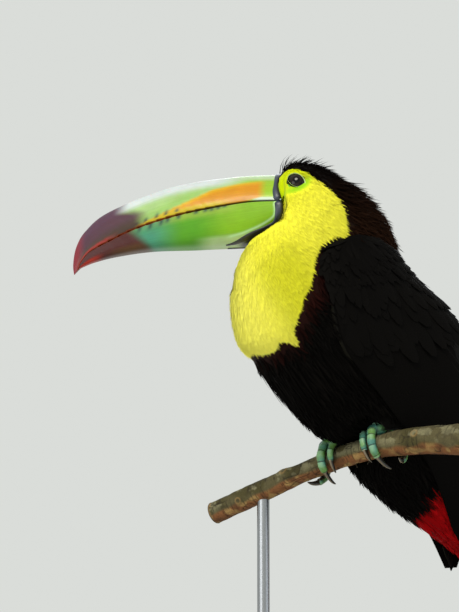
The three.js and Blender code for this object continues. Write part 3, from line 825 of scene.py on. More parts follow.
# ---- wings ----
wing = {
    "front": [(-4, 124), (-20, 112), (-20, 91), (-10, 56), (22, 25), (56, -8), (87, -49), (104, -76)],
    "back": [(6, 127), (29, 124), (60.5, 106), (90, 75.5), (111, 42), (123, 0), (125, -40), (112, -76)],
    "thick": [6, 6, 5, 4, 3, 2.4], "least": 13, "out": 1.2, "tone": "#0B0A09", "edge": "#1B1A13", "rows": 70,
    "ring": 40,
}


def crossFlat(first, second):
    return first[..., 0] * second[..., 1] - first[..., 1] * second[..., 0]


halvings = 24  # how many times the search below halves its step


# How far the body reaches sideways at a place seen from the side.
def bodySide(back, up):
    low, high = np.full(back.shape, 0.3), np.full(back.shape, 1.0)
    place = np.stack([back, up], -1)
    for _ in range(halvings):
        share = (low + high) / 2
        section = spline(bodySections, share)
        ahead = crossFlat(section[..., 0:2] - section[..., 2:4], place - section[..., 2:4]) > 0
        low, high = np.where(ahead, low, share), np.where(ahead, share, high)
    section = spline(bodySections, low)
    depth = section[..., 0:2] - section[..., 2:4]
    rise = ((place - section[..., 2:4]) * depth).sum(-1) / (depth ** 2).sum(-1)
    height = np.clip(2 * rise - 1, -0.97, 0.97)
    return section[..., 4] * np.sqrt(1 - height ** 2) * (1 + section[..., 5] * height)


def wingMiddle(side):
    def place(u, v):
        flat = spline(wing["front"], u) * (1 - v[..., None]) + spline(wing["back"], u) * v[..., None]
        wide = np.maximum(wing["least"], bodySide(flat[..., 0], flat[..., 1]))
        return turned(flat[..., 0], side * wide, flat[..., 1], 0 * u)
    return Sheet(place, 90, 60, False, outward=np.array([0, side, 0]))


def wingHalf(u, v):
    return spline(wing["thick"], u)[..., 0] / 2 * np.sqrt(np.clip(1 - (2 * v - 1) ** 2, 0, 1))


def wingSheet(side, inset):
    middle = wingMiddle(side)
    place = lambda u, v: middle.at(u, v, wing["out"] + wingHalf(u, v) * 0.9 - inset)
    return middle, Sheet(place, 90, 60, False, outward=np.array([0, side, 0]))


# A long feather's outline in section: shares of its half width, and mm up.
featherSection = np.array([[-1, -0.55, -0.09, 0, 0.09, 0.55, 1, 0.5, -0.5],
                           [0, 0.12, 0.16, 0.55, 0.16, 0.12, 0, -0.3, -0.3]])


# One long feather along a path on a sheet: a raised shaft between two webs, closed below.
def longFeather(sheet, u, v, height, leftMm, rightMm, tone, edgeTone):
    webs, high = featherSection
    middle = sheet.at(u, v, height)
    normals = unit(sheet.read(sheet.normals, u, v))
    across = unit(np.cross(normals, np.gradient(middle, axis=0)))
    half = np.where(webs < 0, leftMm[:, None], rightMm[:, None])
    shaft = 1 - 0.85 * np.linspace(0, 1, len(u))[:, None]
    rise = high * np.where(high > 0.5, shaft, 1) - 0.05 * webs ** 2 * half
    ring = middle[:, None] + across[:, None] * (webs * half)[..., None] \
        + normals[:, None] * rise[..., None]
    travelled = travel(middle)
    slant = travelled[:, None] + np.abs(webs) * half * 0.9
    places = np.stack([webs * half, slant], -1).reshape(-1, 2)
    shade = smooth(np.abs(webs), 0.75, 1.0)
    tones = mix(tone, edgeTone, np.broadcast_to(shade, half.shape)).reshape(-1, 3)
    ends = [[0, 0], [0, slant[-1, 3] + 1]]
    return (closed(ring, middle[[0, -1]]), np.concatenate([ends[:1], places, ends[1:]]),
            withEnds(tones))


def joinFeathers(name, feathers, rows, material, slot, nodes=()):
    points, places, tones = (np.stack(part) for part in zip(*feathers))
    makePiece(name, points, loftFaces(rows, featherSection.shape[1], len(feathers)), material, slot, nodes,
              coat=tones, maps={"web": places})


def webWidths(rows, wide, lead, pointed):  # web half widths from quill to tip, in mm
    share = np.linspace(0, 1, rows)
    body = smooth(share, -0.12, 0.16) * np.clip(1 - share ** pointed, 0, 1) ** 0.55 * wide / 2
    return np.maximum(body * lead, 0.3), np.maximum(body * (2 - lead), 0.3)


flight = flightFeather()
flightRows = 30
quills = {  # from the outermost primary to the innermost secondary; places are shares of the wing
    "primaries": 8, "secondaries": 9, "wide": 13, "stack": 0.34, "rootU": 0.27, "rootStep": 0.06,
    "rootV": 0.06, "rootRange": 0.8, "tipV": 0.3, "tipStep": 0.06, "sunk": 1.9,
}
wingCoats = {
    "lesser": {"spacing": 2.3, "length": 11, "width": 3.8, "lift": 1.1, "sink": 0.7, "stray": 0.09,
               "ridge": 0.14, "outline": [(0.25, 0.75), (0.6, 1), (0.88, 0.75)], "droop": 0.16,
               "mottle": 0.08, "even": 0.85},
    "median": {"length": 21, "width": 8, "lift": 1.5, "sink": 0.6, "stray": 0.04, "ridge": 0.07,
               "outline": [(0.15, 0.7), (0.45, 1), (0.75, 0.95), (0.93, 0.55)], "droop": 0.14,
               "mottle": 0.05, "even": 0.85},
    "greater": {"length": 34, "width": 10.5, "lift": 1.5, "sink": 0.6, "stray": 0.03, "ridge": 0.06,
                "outline": [(0.12, 0.6), (0.4, 1), (0.75, 0.95), (0.94, 0.5)], "droop": 0.12,
                "mottle": 0.05, "even": 0.85},
}


covertRows = {  # along the wing, from and to across it, and how many
    "greater": [(0.3, 0.05, 0.98, 12), (0.35, 0.05, 0.98, 11)],
    "median": [(0.2, 0.04, 0.98, 14), (0.245, 0.04, 0.98, 14), (0.285, 0.04, 0.98, 13)],
}


def rowsOfRoots(places):  # roots in staggered rows
    u, v = [], []
    for number, (along, first, last, count) in enumerate(places):
        step = (last - first) / count
        v.append(first + step * (np.arange(count) + (0.25 if number % 2 else 0.6)))
        u.append(np.full(count, along))
    u, v = np.concatenate(u), np.concatenate(v)
    return u + 0.006 * draws.normal(size=len(u)), v + 0.006 * draws.normal(size=len(v))


def makeWing(name, side):
    middle, outer = wingSheet(side, 1.1)
    black, edge = hexColour(wing["tone"]), hexColour(wing["edge"])
    rows, ring = wing["rows"], wing["ring"]
    turns = turnsOf(ring)
    u = np.linspace(0.005, 0.985, rows)[:, None] * np.ones(ring)
    v = np.broadcast_to(0.5 - 0.46 * np.cos(turns), u.shape)
    rings = middle.at(u, v, wing["out"] + 0.55 * wingHalf(u, v) * np.sign(np.sin(turns)) - 0.3)
    points = closed(rings)
    tones = np.broadcast_to(black * 0.8, points.shape)
    makePiece(f"wing_{name}", points, loftFaces(rows, ring), contour, "black_feather",
              (f"wing_{name}",), coat=tones)

    feathers = []
    total = quills["primaries"] + quills["secondaries"]
    for number in range(total):  # from the outermost primary up to the innermost secondary
        share = number / (total - 1)
        primary = number < quills["primaries"]
        tipU = 1.0 - 0.012 * abs(number - 3) if primary else 0.93 - 0.3 * (share - 0.47) / 0.53
        tipV = quills["tipV"] + quills["tipStep"] * number if primary else 0.8 + 0.12 * (share - 0.47) / 0.53
        startV = quills["rootV"] + quills["rootRange"] * share
        startU = quills["rootU"] + quills["rootStep"] * share
        along = np.linspace(0, 1, flightRows)
        pathU = startU + (tipU - startU) * along
        pathV = startV + (tipV - startV) * smooth(along, 0.1, 1.15) / smooth(1, 0.1, 1.15)
        height = quills["stack"] * number * (0.35 + 0.65 * along) * 0.55 + 0.8 * along \
            - quills["sunk"]
        left, right = webWidths(flightRows, quills["wide"], 0.75 if side < 0 else 1.25, 3.5)
        shade = 1 + 0.12 * draws.normal()
        feathers.append(longFeather(outer, pathU, pathV, height, left, right,
                                    black * shade, edge * shade))
    joinFeathers(f"flight_feathers_{name}", feathers, flightRows, flight, "black_feather")

    # Painted sheen: the coverts are painted up to 40% lighter towards the folded wing's upper back edge near
    # the shoulder.
    paint = lambda u, v, points: np.broadcast_to(black, (len(u), 3)) \
        * (1 + 0.4 * smooth(v, 0.4, 1) * (1 - smooth(u, 0.1, 0.6)))[:, None]
    slot = "black_feather"
    for coat, places in covertRows.items():
        layFeathers(f"{coat}_coverts_{name}", outer, *rowsOfRoots(places), wingCoats[coat], paint,
                    contour, slot)
    u, v = outer.scatter(wingCoats["lesser"]["spacing"], lambda u, v, points: u < 0.25)
    layFeathers(f"lesser_coverts_{name}", outer, u, v, wingCoats["lesser"], paint, contour, slot)


makeWing("left", -1)
makeWing("right", 1)
print("wings")


# ---- tail ----
tail = {"root": (111, -10), "tip": (188, -152), "rootHalf": 21, "endHalf": 30,
        "rounding": 34, "arch": 0.0045, "quills": 10, "wide": 17,
        "tone": "#0F0E0D", "edge": "#191614"}
tailRoot, tailTip = (turned(*np.array([[back], [0], [up], [0]], float))[0]
                     for back, up in (tail["root"], tail["tip"]))
tailLine = unit(tailTip - tailRoot)
tailUp = np.array([-tailLine[2], 0, tailLine[0]])
tailLength = np.linalg.norm(tailTip - tailRoot)


def tailPlace(u, v):
    half = tail["rootHalf"] + (tail["endHalf"] - tail["rootHalf"]) * u
    across = (2 * v - 1) * half
    place = tailRoot + tailLine * (u * tailLength)[..., None] \
        - tailUp * (tail["arch"] * across ** 2)[..., None]
    place[..., 1] += across
    return place


def makeTail():
    sheet = Sheet(tailPlace, 40, 30, False, outward=tailUp)
    black, edge = hexColour(tail["tone"]), hexColour(tail["edge"])
    feathers = []
    middleOne = (tail["quills"] - 1) / 2
    for number in range(tail["quills"]):
        away = (number - middleOne) / middleOne  # -1 and 1 are the outermost feathers
        along = np.linspace(0, 1, flightRows)
        tipV = 0.5 + 0.36 * away
        short = tail["rounding"] / tailLength * abs(away) ** 1.7
        pathU = 0.01 + (0.985 - short) * along
        pathV = 0.5 + 0.3 * away + (tipV - 0.5 - 0.3 * away) * along
        height = 1.1 - 2.2 * abs(away) + 0.15 * number / 10 + 0 * along
        lead = 1 - 0.25 * np.sign(away)
        left, right = webWidths(flightRows, tail["wide"], lead, 9)
        shade = 1 + 0.1 * draws.normal()
        feathers.append(longFeather(sheet, pathU, pathV, height, left, right,
                                    black * shade, edge * shade))
    joinFeathers("tail_feathers", feathers, flightRows, flight, "black_feather", ("tail",))


makeTail()
print("tail")


# ---- bill ----
bill = {
    "keel": [(-25, 171.3), (-57, 170), (-96, 163.8), (-132.9, 149), (-147.5, 137), (-153.5, 126.3),
             (-155.2, 115), (-154.4, 108)],
    "edge": [(-22, 149.4), (-46, 149.1), (-85, 143.2), (-114, 135.6), (-133.2, 127.6), (-144.2, 122),
             (-149.8, 115.8), (-151.6, 111.4)],
    "lower": [(-22.5, 137.5), (-40, 126.8), (-72, 124.2), (-104, 123.2), (-127, 120), (-141, 116.4),
              (-148.5, 113.4), (-151, 112)],
    "half": [17, 16, 13, 9, 6, 4, 2.4, 1.2], "gap": 0.3, "rows": 320, "ring": 150,
    "base": -25.6,  # where the sheath starts
    "tooth": 6.3, "notch": 0.55,  # the saw along the cutting edges: spacing and depth in mm
    "upperMarks": [(63, 0.22), (70, 0.3), (76, 0.3), (83, 0.26), (89, 0.2)],  # mm out, lift
    "lowerMarks": [(32, 2), (36, 2.5), (40, 3), (44, 3), (50, 3), (61, 4), (68, 5), (72, 6),
                   (79, 7), (86, 7)],  # mm out, mm long
}
horn = palette(
    mint="#91B071", culmen="#B9C1C3", green="#7FA84A", orange="#B87C00",
    amber="#C09600", sun="#BDA500", ice="#A9B9B2", plum="#431A36", wine="#300A12",
    red="#9A1606", leaf="#458800", lime="#6E9C00", fresh="#7E9C30", sea="#347C60",
    edge="#A6BE8C", gape="#241008", rust="#7E3410", tooth="#24443A",
    maroon="#3C0803", olive="#4C3204", scarlet="#961C06", brow="#9DB689",
    spring="#86AC1E", border="#A8CF98", throat="#100E06",
)


def sawtooth(distance):  # 0 to 1 from tooth to tooth, with a short steep front
    return np.clip((distance / bill["tooth"]) % 1 * 1.25, 0, 1)


def billSurface(outer, upper, share, angle):
    top, bottom = spline(bill[outer], share), spline(bill["edge"], share)
    base = bill["base"]
    distance = base - bottom[..., 0]  # mm out from the face
    saw = sawtooth(distance) * smooth(distance, 18, 60) * (1 - smooth(distance, 108, 122))
    rise = bill["gap"] / 2 + bill["notch"] * saw * (1 if upper else 0.6)
    bottom[..., 1] += rise if upper else -rise
    lift = 0.5 + 0.5 * np.cos(angle)
    roundness, squareness = (1.7, 0.75) if upper else (5, 0.32)
    width = np.clip(1 - lift ** roundness, 0, 1) ** squareness * np.sign(np.round(np.sin(angle), 6))
    width *= 1 - 0.05 * (1 - smooth(lift, 0, 0.03))  # rounds off the cutting edge
    place = bottom + (top - bottom) * lift[..., None]
    half = spline(bill["half"], share)[..., 0] - 0.05
    return onHead(place[..., 0], half * width, place[..., 1]), base - place[..., 0], lift


# Painted shade: the dark line is partly the cutting edge's own dark red-brown and partly painted shade of
# the narrow gap between the halves.
def withGapeLine(tone, d, lift, end, strength):  # the dark line along a cutting edge
    line = mix(horn["gape"], horn["rust"], smooth(d, 40, 80))
    return mix(tone, line, (1 - smooth(lift, 0.008, end)) * strength)


# Colours by distance out along the bill in mm and lift: 0 at the cutting edge, 1 at the outer line.
def paintUpperBill(d, lift):
    top = np.interp(d, [0, 7, 22, 40, 49, 58, 67, 76, 84, 96],
                    [0.72, 0.71, 0.66, 0.57, 0.42, 0.3, 0.2, 0.12, 0.07, 0.04])
    low = np.interp(d, [0, 8, 14, 22], [0.14, 0.12, 0.06, -0.05])
    tone = layered(
        horn["brow"], horn,
        ("mint", smooth(d, 4, 16) * (1 - smooth(lift, 0.7, 0.85))),
        ("spring", (1 - smooth(d, 14, 30)) * (1 - smooth(lift, 0.66, 0.84))),
        ("green", 0.7 * smooth(d, 30, 60) * (1 - smooth(lift, top + 0.1, top + 0.4))),
        # Painted highlight: the pale blue-white along the top is partly the culmen's own pale tone and
        # partly a painted highlight.
        ("culmen", smooth(lift, 0.55, 0.85) * smooth(d, 18, 42)),
        ("ice", 0.9 * (1 - smooth(d, 9, 17)) * (1 - smooth(lift, 0.07, 0.14))))
    blaze = smooth(lift, low - 0.03, low + 0.04) * (1 - smooth(lift, top - 0.07, top + 0.05))
    blaze = blaze * smooth(d, 5, 12.5) * (1 - smooth(d, 94, 112))
    tone = mix(tone, mix(horn["orange"], horn["amber"], smooth(lift, top - 0.2, top)), blaze)
    tone = mix(tone, horn["sun"], blaze * (1 - smooth(lift, 0.08, 0.2)) * smooth(d, 24, 40))
    for place, height in bill["upperMarks"]:
        mark = np.exp(-((d - place + 5 * lift) / 1.3) ** 2) * smooth(lift, 0.04, 0.09) \
            * (1 - smooth(lift, 0.1, height))
        tone = mix(tone, horn["tooth"], 0.85 * mark)
    tip = smooth(d, 79 + 14 * smooth(lift, 0.35, 0.8), 91 + 14 * smooth(lift, 0.35, 0.8))
    tone = mix(tone, mix(horn["wine"], horn["plum"], smooth(lift, 0.1, 0.5)), tip * 0.96)
    low = 1 - smooth(lift, 0.06, 0.2)
    tone = mix(tone, horn["red"], np.maximum(smooth(d, 121, 128) * (0.45 + 0.55 * low),
                                             0.8 * smooth(d, 98, 112) * low))
    tone = tone * (1 - 0.22 * (1 - smooth(lift, 0.02, 0.2)) * smooth(d, 10, 20))[..., None]
    return withGapeLine(tone, d, lift, 0.024, 0.85)


def paintLowerBill(d, lift):
    start = 91 - 12 * lift  # where the dark tip begins
    tone = layered(
        horn["leaf"], horn,
        ("lime", 1 - smooth(d, 26, 52)),
        ("fresh", 0.9 * (1 - smooth(lift, 0.06, 0.3)) * smooth(d, 14, 34)),
        ("sea", smooth(d, 58, 80) * (0.75 + 0.25 * smooth(lift, 0.1, 0.5))),
        # Painted highlight: a pale band along the bottom of the lower mandible, towards its base.
        ("edge", 0.9 * smooth(lift, 0.76, 0.93) * smooth(d, 2, 14) * (1 - smooth(d, 36, 54))),
        ("maroon", smooth(d, start - 4, start + 5)),
        ("olive", 0.7 * smooth(lift, 0.5, 0.9) * smooth(d, start - 2, start + 6)
         * (1 - smooth(d, 96, 110))),
        ("scarlet", smooth(lift, 0.5, 0.9) * smooth(d, 108, 118)))
    for place, length in bill["lowerMarks"]:  # dark marks that run down from the gape
        mark = np.exp(-((d - place - 5 * lift) / 1.5) ** 2) * (1 - smooth(lift, 0.3 * length / 22,
                                                                         length / 22))
        tone = mix(tone, horn["tooth"], 0.95 * mark)
    return withGapeLine(tone, d, lift, 0.026, 0.8)


# Rim where the bill meets the face: a raised bead of horn, black along its rear edge, its outer side slate
# blue, partly the horn's own tone and partly a painted sheen.
rim = {  # back and up along the bead from the culmen to the chin, then half width and height in mm
    "path": [(-25.4, 171.4), (-25.4, 168.5), (-25.5, 165), (-25.8, 161), (-25.6, 156.3),
             (-24.3, 150.5), (-23.3, 145.2), (-23.3, 141.5), (-24.6, 138), (-28.2, 134.8),
             (-34.2, 131.4), (-40, 129), (-46, 126.9), (-52, 125.5), (-57.5, 124.6)],
    "wide": [1.6, 1.8, 1.7, 1.5, 2.1, 2.5, 2.6, 2.6, 2.5, 2.5, 2.6, 2.7, 2.6, 2.2, 0.8],
    "high": [0.7, 0.9, 0.9, 0.8, 1.0, 1.1, 1.1, 1.1, 1.1, 1.0, 1.0, 0.9, 0.8, 0.6, 0.3],
    "rows": 260, "ring": 24, "evenings": 4, "slate": "#232C3C", "black": "#07070A",
}


# Bill sheath: thin keratin over light bone, smooth as a fingernail, with a soft waxy shine.
def keratin():
    material, tree, shader = newMaterial(
        "keratin_bill_sheath", Roughness=0.35, IOR=1.54, Specular_IOR_Level=0.24, Coat_Weight=0.1,
        Coat_Roughness=0.1, Subsurface_Weight=0.12, Subsurface_Scale=1.5 * mm)
    along = addNode(tree, "UVMap", uv_map="horn").outputs["UV"]
    stretch = addNode(tree, "Mapping", {"Vector": along, "Scale": (0.06, 1.1, 1)}).outputs[0]
    fibres = addNode(tree, "TexNoise", {"Vector": stretch, "Scale": 1, "Detail": 5}).outputs["Fac"]
    clouds = addNode(tree, "TexNoise", {"Vector": along, "Scale": 0.12, "Detail": 3}).outputs["Fac"]
    first, second = (between(tree, value, 0.86, 1.14) for value in (fibres, clouds))
    both = addNode(tree, "Math", {0: first, 1: second}, operation="MULTIPLY").outputs["Value"]
    usePaint(tree, shader, both)
    tree.links.new(between(tree, fibres, 0.28, 0.46), shader.inputs["Roughness"])
    addRelief(tree, shader, fibres, 0.18, 0.3)
    return material


def makeBillHalf(name, outer, upper, paint, material):
    share = rowsOf(bill["rows"], bill["ring"])
    angle = np.broadcast_to(turnsOf(bill["ring"]), share.shape)
    points, distance, lift = billSurface(outer, upper, share, angle)
    tones = paint(distance, lift)
    if not upper:  # a pale border runs along the rim
        back, _, up = headPlace(points)
        path = spline(rim["path"], np.linspace(0.4, 1, 120))
        away = np.hypot(back[..., None] - path[:, 0], up[..., None] - path[:, 1]).min(-1)
        over = up - np.interp(back, path[::-1, 0], path[::-1, 1])
        border = np.exp(-((away - 2.9) / 0.65) ** 2) * smooth(back, -58, -53) * smooth(over, -1, 2)
        tones = mix(tones, horn["border"], 0.8 * border)
        tones = mix(tones, horn["throat"], smooth(-over, 0.2, 1.2) * smooth(back, -60, -55))
    points = closed(points)
    flat = tones.reshape(-1, 3)
    tones = np.concatenate([flat[:1], flat, tones[-1:].mean(1)])
    places = np.stack([distance, lift * 22 * np.sign(np.sin(angle) + 0.001)], -1).reshape(-1, 2)
    places = np.concatenate([places[:1], places, places[-1:]])
    makePiece(name, points, loftFaces(bill["rows"], bill["ring"]), material, "bill_horn", (name,),
              coat=tones, maps={"horn": places})


keratinHorn = keratin()
makeBillHalf("bill_upper", "keel", True, paintUpperBill, keratinHorn)
makeBillHalf("bill_lower", "lower", False, paintLowerBill, keratinHorn)


def billPlaces(outer, upper):
    return lambda u, v: billSurface(outer, upper, 0.4 * u, 2 * np.pi * v)[0]


# The bill's surface and its normal at places seen from the side.
def ontoBill(back, up, side):
    sheets = [Sheet(billPlaces(outer, upper), 160, 150, True)
              for outer, upper in (("keel", True), ("lower", False))]
    points, normals = (np.concatenate([getattr(sheet, grid).reshape(-1, 3) for sheet in sheets])
                       for grid in ("points", "normals"))
    flatBack, flatSide, flatUp = headPlace(points)
    near = side * flatSide > -0.2
    away = (flatBack[near] - back[:, None]) ** 2 + (flatUp[near] - up[:, None]) ** 2
    weight = np.exp((away.min(1, keepdims=True) - away) / 0.4)
    weight /= weight.sum(1, keepdims=True)
    return onHead(back, weight @ flatSide[near], up), unit(weight @ normals[near])


# Rim horn: dull keratin, finely pitted; the slate blue painted on it is partly its own tone and partly a
# painted sheen.
slate = grainedFinish("slate_rim_horn", 1.4, (0.6, 1.4), 0.35, 0.25, {"Detail": 4}, Roughness=0.4,
                      IOR=1.54)


def makeRim():
    share = np.linspace(0, 1, rim["rows"])
    back, up = spline(rim["path"], share ** 1.4).T
    (left, leftOut), (right, rightOut) = (ontoBill(back, up, side) for side in (-1, 1))
    middle = np.concatenate([left[::-1], right[1:]])
    out = np.concatenate([leftOut[::-1], rightOut[1:]])
    wide, high = (spline(rim[size], share ** 1.4)[:, 0] for size in ("wide", "high"))
    wide, high = (np.concatenate([size[::-1], size[1:]]) for size in (wide, high))
    travelled = travel(middle)
    even = np.linspace(0, travelled[-1], rim["rows"])
    level = lambda values: np.stack([np.interp(even, travelled, column) for column in values.T], -1)
    middle, out, sizes = level(middle), level(out), level(np.stack([wide, high], -1))
    for _ in range(rim["evenings"]):  # evens out small steps
        middle[1:-1] = (middle[:-2] + 2 * middle[1:-1] + middle[2:]) / 4
        out[1:-1] = (out[:-2] + 2 * out[1:-1] + out[2:]) / 4
    along = unit(np.gradient(middle, axis=0))
    out = unit(out - along * (out * along).sum(1)[:, None])
    over = np.cross(along, out)
    over *= np.sign((over * (onHead(1, 0, 0) - onHead(0, 0, 0))).sum(1, keepdims=True))
    turns = turnsOf(rim["ring"])
    ring = middle[:, None] + over[:, None] * (sizes[:, :1] * np.cos(turns))[..., None] \
        + out[:, None] * (sizes[:, 1:] * np.sin(turns))[..., None]
    points = closed(ring, middle[[0, -1]])
    height = headPlace(middle)[2][:, None]
    # Painted sheen: the outer side is painted slate blue, partly the horn's own tone and partly a painted
    # sheen; the rear edge and the low end are black.
    rear = np.maximum(smooth(np.cos(turns), 0.1, 0.6), 0.9 * (1 - smooth(height, 131, 137)))
    tones = mix(hexColour(rim["slate"]), hexColour(rim["black"]), rear).reshape(-1, 3)
    makePiece("bill_rim", points, loftFaces(rim["rows"], rim["ring"]), slate, "bill_horn",
              coat=withEnds(tones))


makeRim()
print("bill")


# ---- eyes and lids ----
lids = {"long": 6.3, "tall": 4.1, "tilt": 13, "outerLong": 10.4, "outerTall": 8.4,
        "rows": 44, "ring": 128, "thick": 0.35, "rim": 0.7,
        "ahead": 0.02, "above": 0.14, "out": 1.4, "up": 1.1}  # the way the eye looks


lidTones = palette(
    edge="#12180A", pale="#D9EFA0", green="#5DAA12", olive="#5F7A10",
    iris="#150D07", ring="#1E160C", pupil="#030202")


def eyeAxes(side):
    centre = onHead(eye["back"], side * eye["side"], eye["up"])[0]
    away = np.linalg.norm(skin.points - centre, axis=-1)
    row, column = np.unravel_index(away.argmin(), away.shape)
    out = unit(onHead(-lids["ahead"], side, lids["above"]) - onHead(0, 0, 0))[0]
    along = skin.alongU[row, column]
    along = unit(along - out * (along @ out))
    over = np.cross(out, along)
    over *= np.sign(over[2])
    centre = centre + out * lids["out"] + over * lids["up"]
    tilt = math.radians(lids["tilt"])  # the eye's rear corner is the higher one
    rear = along * math.cos(tilt) + over * math.sin(tilt)
    return centre, out, rear, np.cross(out, rear) * np.sign(np.cross(out, rear)[2]), (row, column)


def makeEye(name, side, ballMaterial, skinMaterial):
    centre, out, rear, over, (row, column) = eyeAxes(side)
    rows, ring = eye["rows"], eye["ring"]
    polar = np.linspace(0.02, np.pi - 0.02, rows)[:, None] * np.ones(ring)
    turns = turnsOf(ring)
    way = out * np.cos(polar)[..., None] + (rear * np.cos(turns)[:, None]
                                            + over * np.sin(turns)[:, None]) * np.sin(polar)[..., None]
    bulge = 1 + 0.03 * (1 - smooth(polar, 0.2, 0.62))
    points = centre + way * (eye["radius"] * bulge)[..., None]
    offset = points - centre
    beyond = np.hypot(offset @ rear / lids["long"], offset @ over / lids["tall"]) - 1.02
    points -= out * 5 * np.clip(beyond, 0, 1)[..., None]  # what the lids cover lies deeper
    t = lidTones
    tones = mix(t["pupil"], t["ring"], smooth(polar, 0.3, 0.34))
    tones = mix(tones, t["iris"], smooth(polar, 0.36, 0.5))
    tones = mix(tones, t["pupil"], smooth(polar, 0.62, 0.7))
    ends = centre + np.array([out, -out]) * eye["radius"] * 1.03
    makePiece(f"eye_{name}", closed(points, ends),
              loftFaces(rows, ring), ballMaterial, "eye", (f"eye_{name}",),
              coat=withEnds(tones))

    rows, ring = lids["rows"], lids["ring"]
    turns = turnsOf(ring)
    share = rowsOf(rows, ring)
    aside, up = np.cos(turns), np.sin(turns)
    almond = 1 - 0.1 * np.abs(up) * (1 - np.abs(aside))  # corners a little drawn out
    inner = rear * (aside * lids["long"] * almond)[:, None] + over * (up * lids["tall"])[:, None]
    deep = np.sqrt(np.clip((eye["radius"] + 0.3) ** 2 - (inner ** 2).sum(1), 1, None))
    opening = centre + inner + out * deep[:, None]
    reach = rear * (aside * lids["outerLong"])[:, None] + over * (up * lids["outerTall"])[:, None]
    sizeU, sizeV = (np.linalg.norm(grid[row, column]) for grid in (skin.alongU, skin.alongV))
    goU, goV = (unit(grid[row, column]) for grid in (skin.alongU, skin.alongV))
    cosine = goU @ goV  # the two ways on the sheet aren't quite square to each other
    a, b = reach @ goU, reach @ goV
    stepU, stepV = (a - b * cosine) / (1 - cosine ** 2), (b - a * cosine) / (1 - cosine ** 2)
    u0, v0 = skin.u[row, column], skin.v[row, column]
    surface = skin.at(u0 + stepU / sizeU * share, v0 + stepV / sizeV * share, 0.25 - 0.45 * share)
    blend = smooth(share, 0.0, 0.62)[..., None]
    start = opening + (reach - inner) * share[..., None] * 0.75
    points = start * (1 - blend) + surface * blend
    folds = lids["rim"] * np.exp(-((share - 0.1) / 0.075) ** 2)
    folds += 0.3 * np.exp(-((share - 0.36) / 0.06) ** 2) - 0.3 * np.exp(-((share - 0.25) / 0.05) ** 2)
    folds -= 0.22 * np.exp(-((share - 0.47) / 0.05) ** 2)
    points = points + out * folds[..., None]
    below = points - out * (lids["thick"] + 0.5 * smooth(share, 0.5, 1))[..., None]
    tones = mix(t["edge"], t["pale"], smooth(share, 0.03, 0.06))
    under = smooth(0.6 * aside - up, -0.1, 0.9)
    tones = mix(tones, t["green"], smooth(share, 0.13, 0.19) * (0.45 + 0.55 * under))
    outerTone = yellowOnly(u0 + stepU / sizeU * share, v0 + stepV / sizeV * share, points)
    tones = mix(tones, outerTone, smooth(share, 0.26 + 0.4 * under, 0.45 + 0.5 * under))
    lines = np.exp(-((share - 0.22) / 0.03) ** 2) * 0.7 * (1 - under)
    tones = mix(tones, t["olive"], lines)
    both = np.concatenate([points, below[::-1]])
    sheets = np.concatenate([tones, tones[::-1]]).reshape(-1, 3)
    grid = both.reshape(-1, 3)
    count = 2 * rows  # the rows run out over the top, back underneath and join up again
    r, c = np.meshgrid(np.arange(count), np.arange(ring), indexing="ij")
    quads = np.stack([r * ring + c, r * ring + (c + 1) % ring,
                      (r + 1) % count * ring + (c + 1) % ring, (r + 1) % count * ring + c], -1)
    makePiece(f"eyelid_{name}", grid, [quads.reshape(-1, 4)], skinMaterial, "scaled_skin",
              coat=sheets)


# Eyeball: wet cornea over a dark brown iris, mirror-bright and nearly black.
wet = plainFinish("wet_dark_eye", Roughness=0.04, IOR=1.33)


# Eyelid skin: bare, thin and pebbled, with a dull leathery surface.
def lidSkin():
    material, tree, shader = newMaterial("bare_eyelid_skin", Roughness=0.5, IOR=1.42,
                                         Subsurface_Weight=0.1, Subsurface_Scale=1.0 * mm)
    pebbles = grain(tree, 0.7, "TexVoronoi", "Distance")
    usePaint(tree, shader, between(tree, pebbles, 1.06, 0.84))
    addRelief(tree, shader, pebbles, 0.4, 0.12, invert=True)
    return material


lidLeather = lidSkin()
makeEye("left", -1, wet, lidLeather)
makeEye("right", 1, wet, lidLeather)
print("eyes")


# ---- feet ----
toes = [  # degrees round the perch from its top, mm outward from the foot, radius and claw length
    {"name": "inner_front", "from": 24, "to": 104, "start": -7, "end": -4.5, "base": 2.4, "claw": 9},
    {"name": "outer_front", "from": 24, "to": 136, "start": -0.6, "end": 3, "base": 3.1, "claw": 15},
    {"name": "inner_back", "from": -24, "to": -104, "start": -4, "end": -11, "base": 2.6, "claw": 8},
    {"name": "outer_back", "from": -24, "to": -172, "start": 3, "end": 15, "base": 2.9, "claw": 9},
]
scutes = {"rows": 120, "ring": 28, "length": 6.2, "high": 0.4, "gap": 0.11, "padLength": 2.3,
          "padStart": 0.7,
          "knuckles": [0.16, 0.47, 0.78], "swell": 0.13}
footTones = palette(
    teal="#3F7468", green="#57803F", pale="#86AE8C", gap="#0C140E", pad="#1A1B12",
    padEdge="#7A7450", horn="#120E0A", hornPale="#7A6E58")
clawForm = {"rows": 46, "ring": 18, "root": 1.85, "tip": 0.16, "sunk": 1.4, "flat": 0.7}
pad = {"rows": 50, "ring": 56, "along": 6.2, "ahead": 5.4, "tall": 4.2, "above": 3.6}
shank = {"rows": 80, "ring": 30, "top": (4.6, 0, 22), "plate": 4.2, "fold": 1.9, "radius": 2.9,
         "flare": 1.9}
lattice = np.random.default_rng(5).random((32, 32, 32))


# Smooth random values from 0 to 1 that change over about `size` mm.
def drift(points, size):
    place = points / size + 1000
    start = np.floor(place).astype(int)
    rest = place - start
    rest = rest * rest * (3 - 2 * rest)
    total = 0
    for corner in np.ndindex(2, 2, 2):
        share = np.prod(np.where(corner, rest, 1 - rest), axis=-1)
        i, j, k = ((start[..., axis] + corner[axis]) % 32 for axis in range(3))
        total = total + share * lattice[i, j, k]
    return total


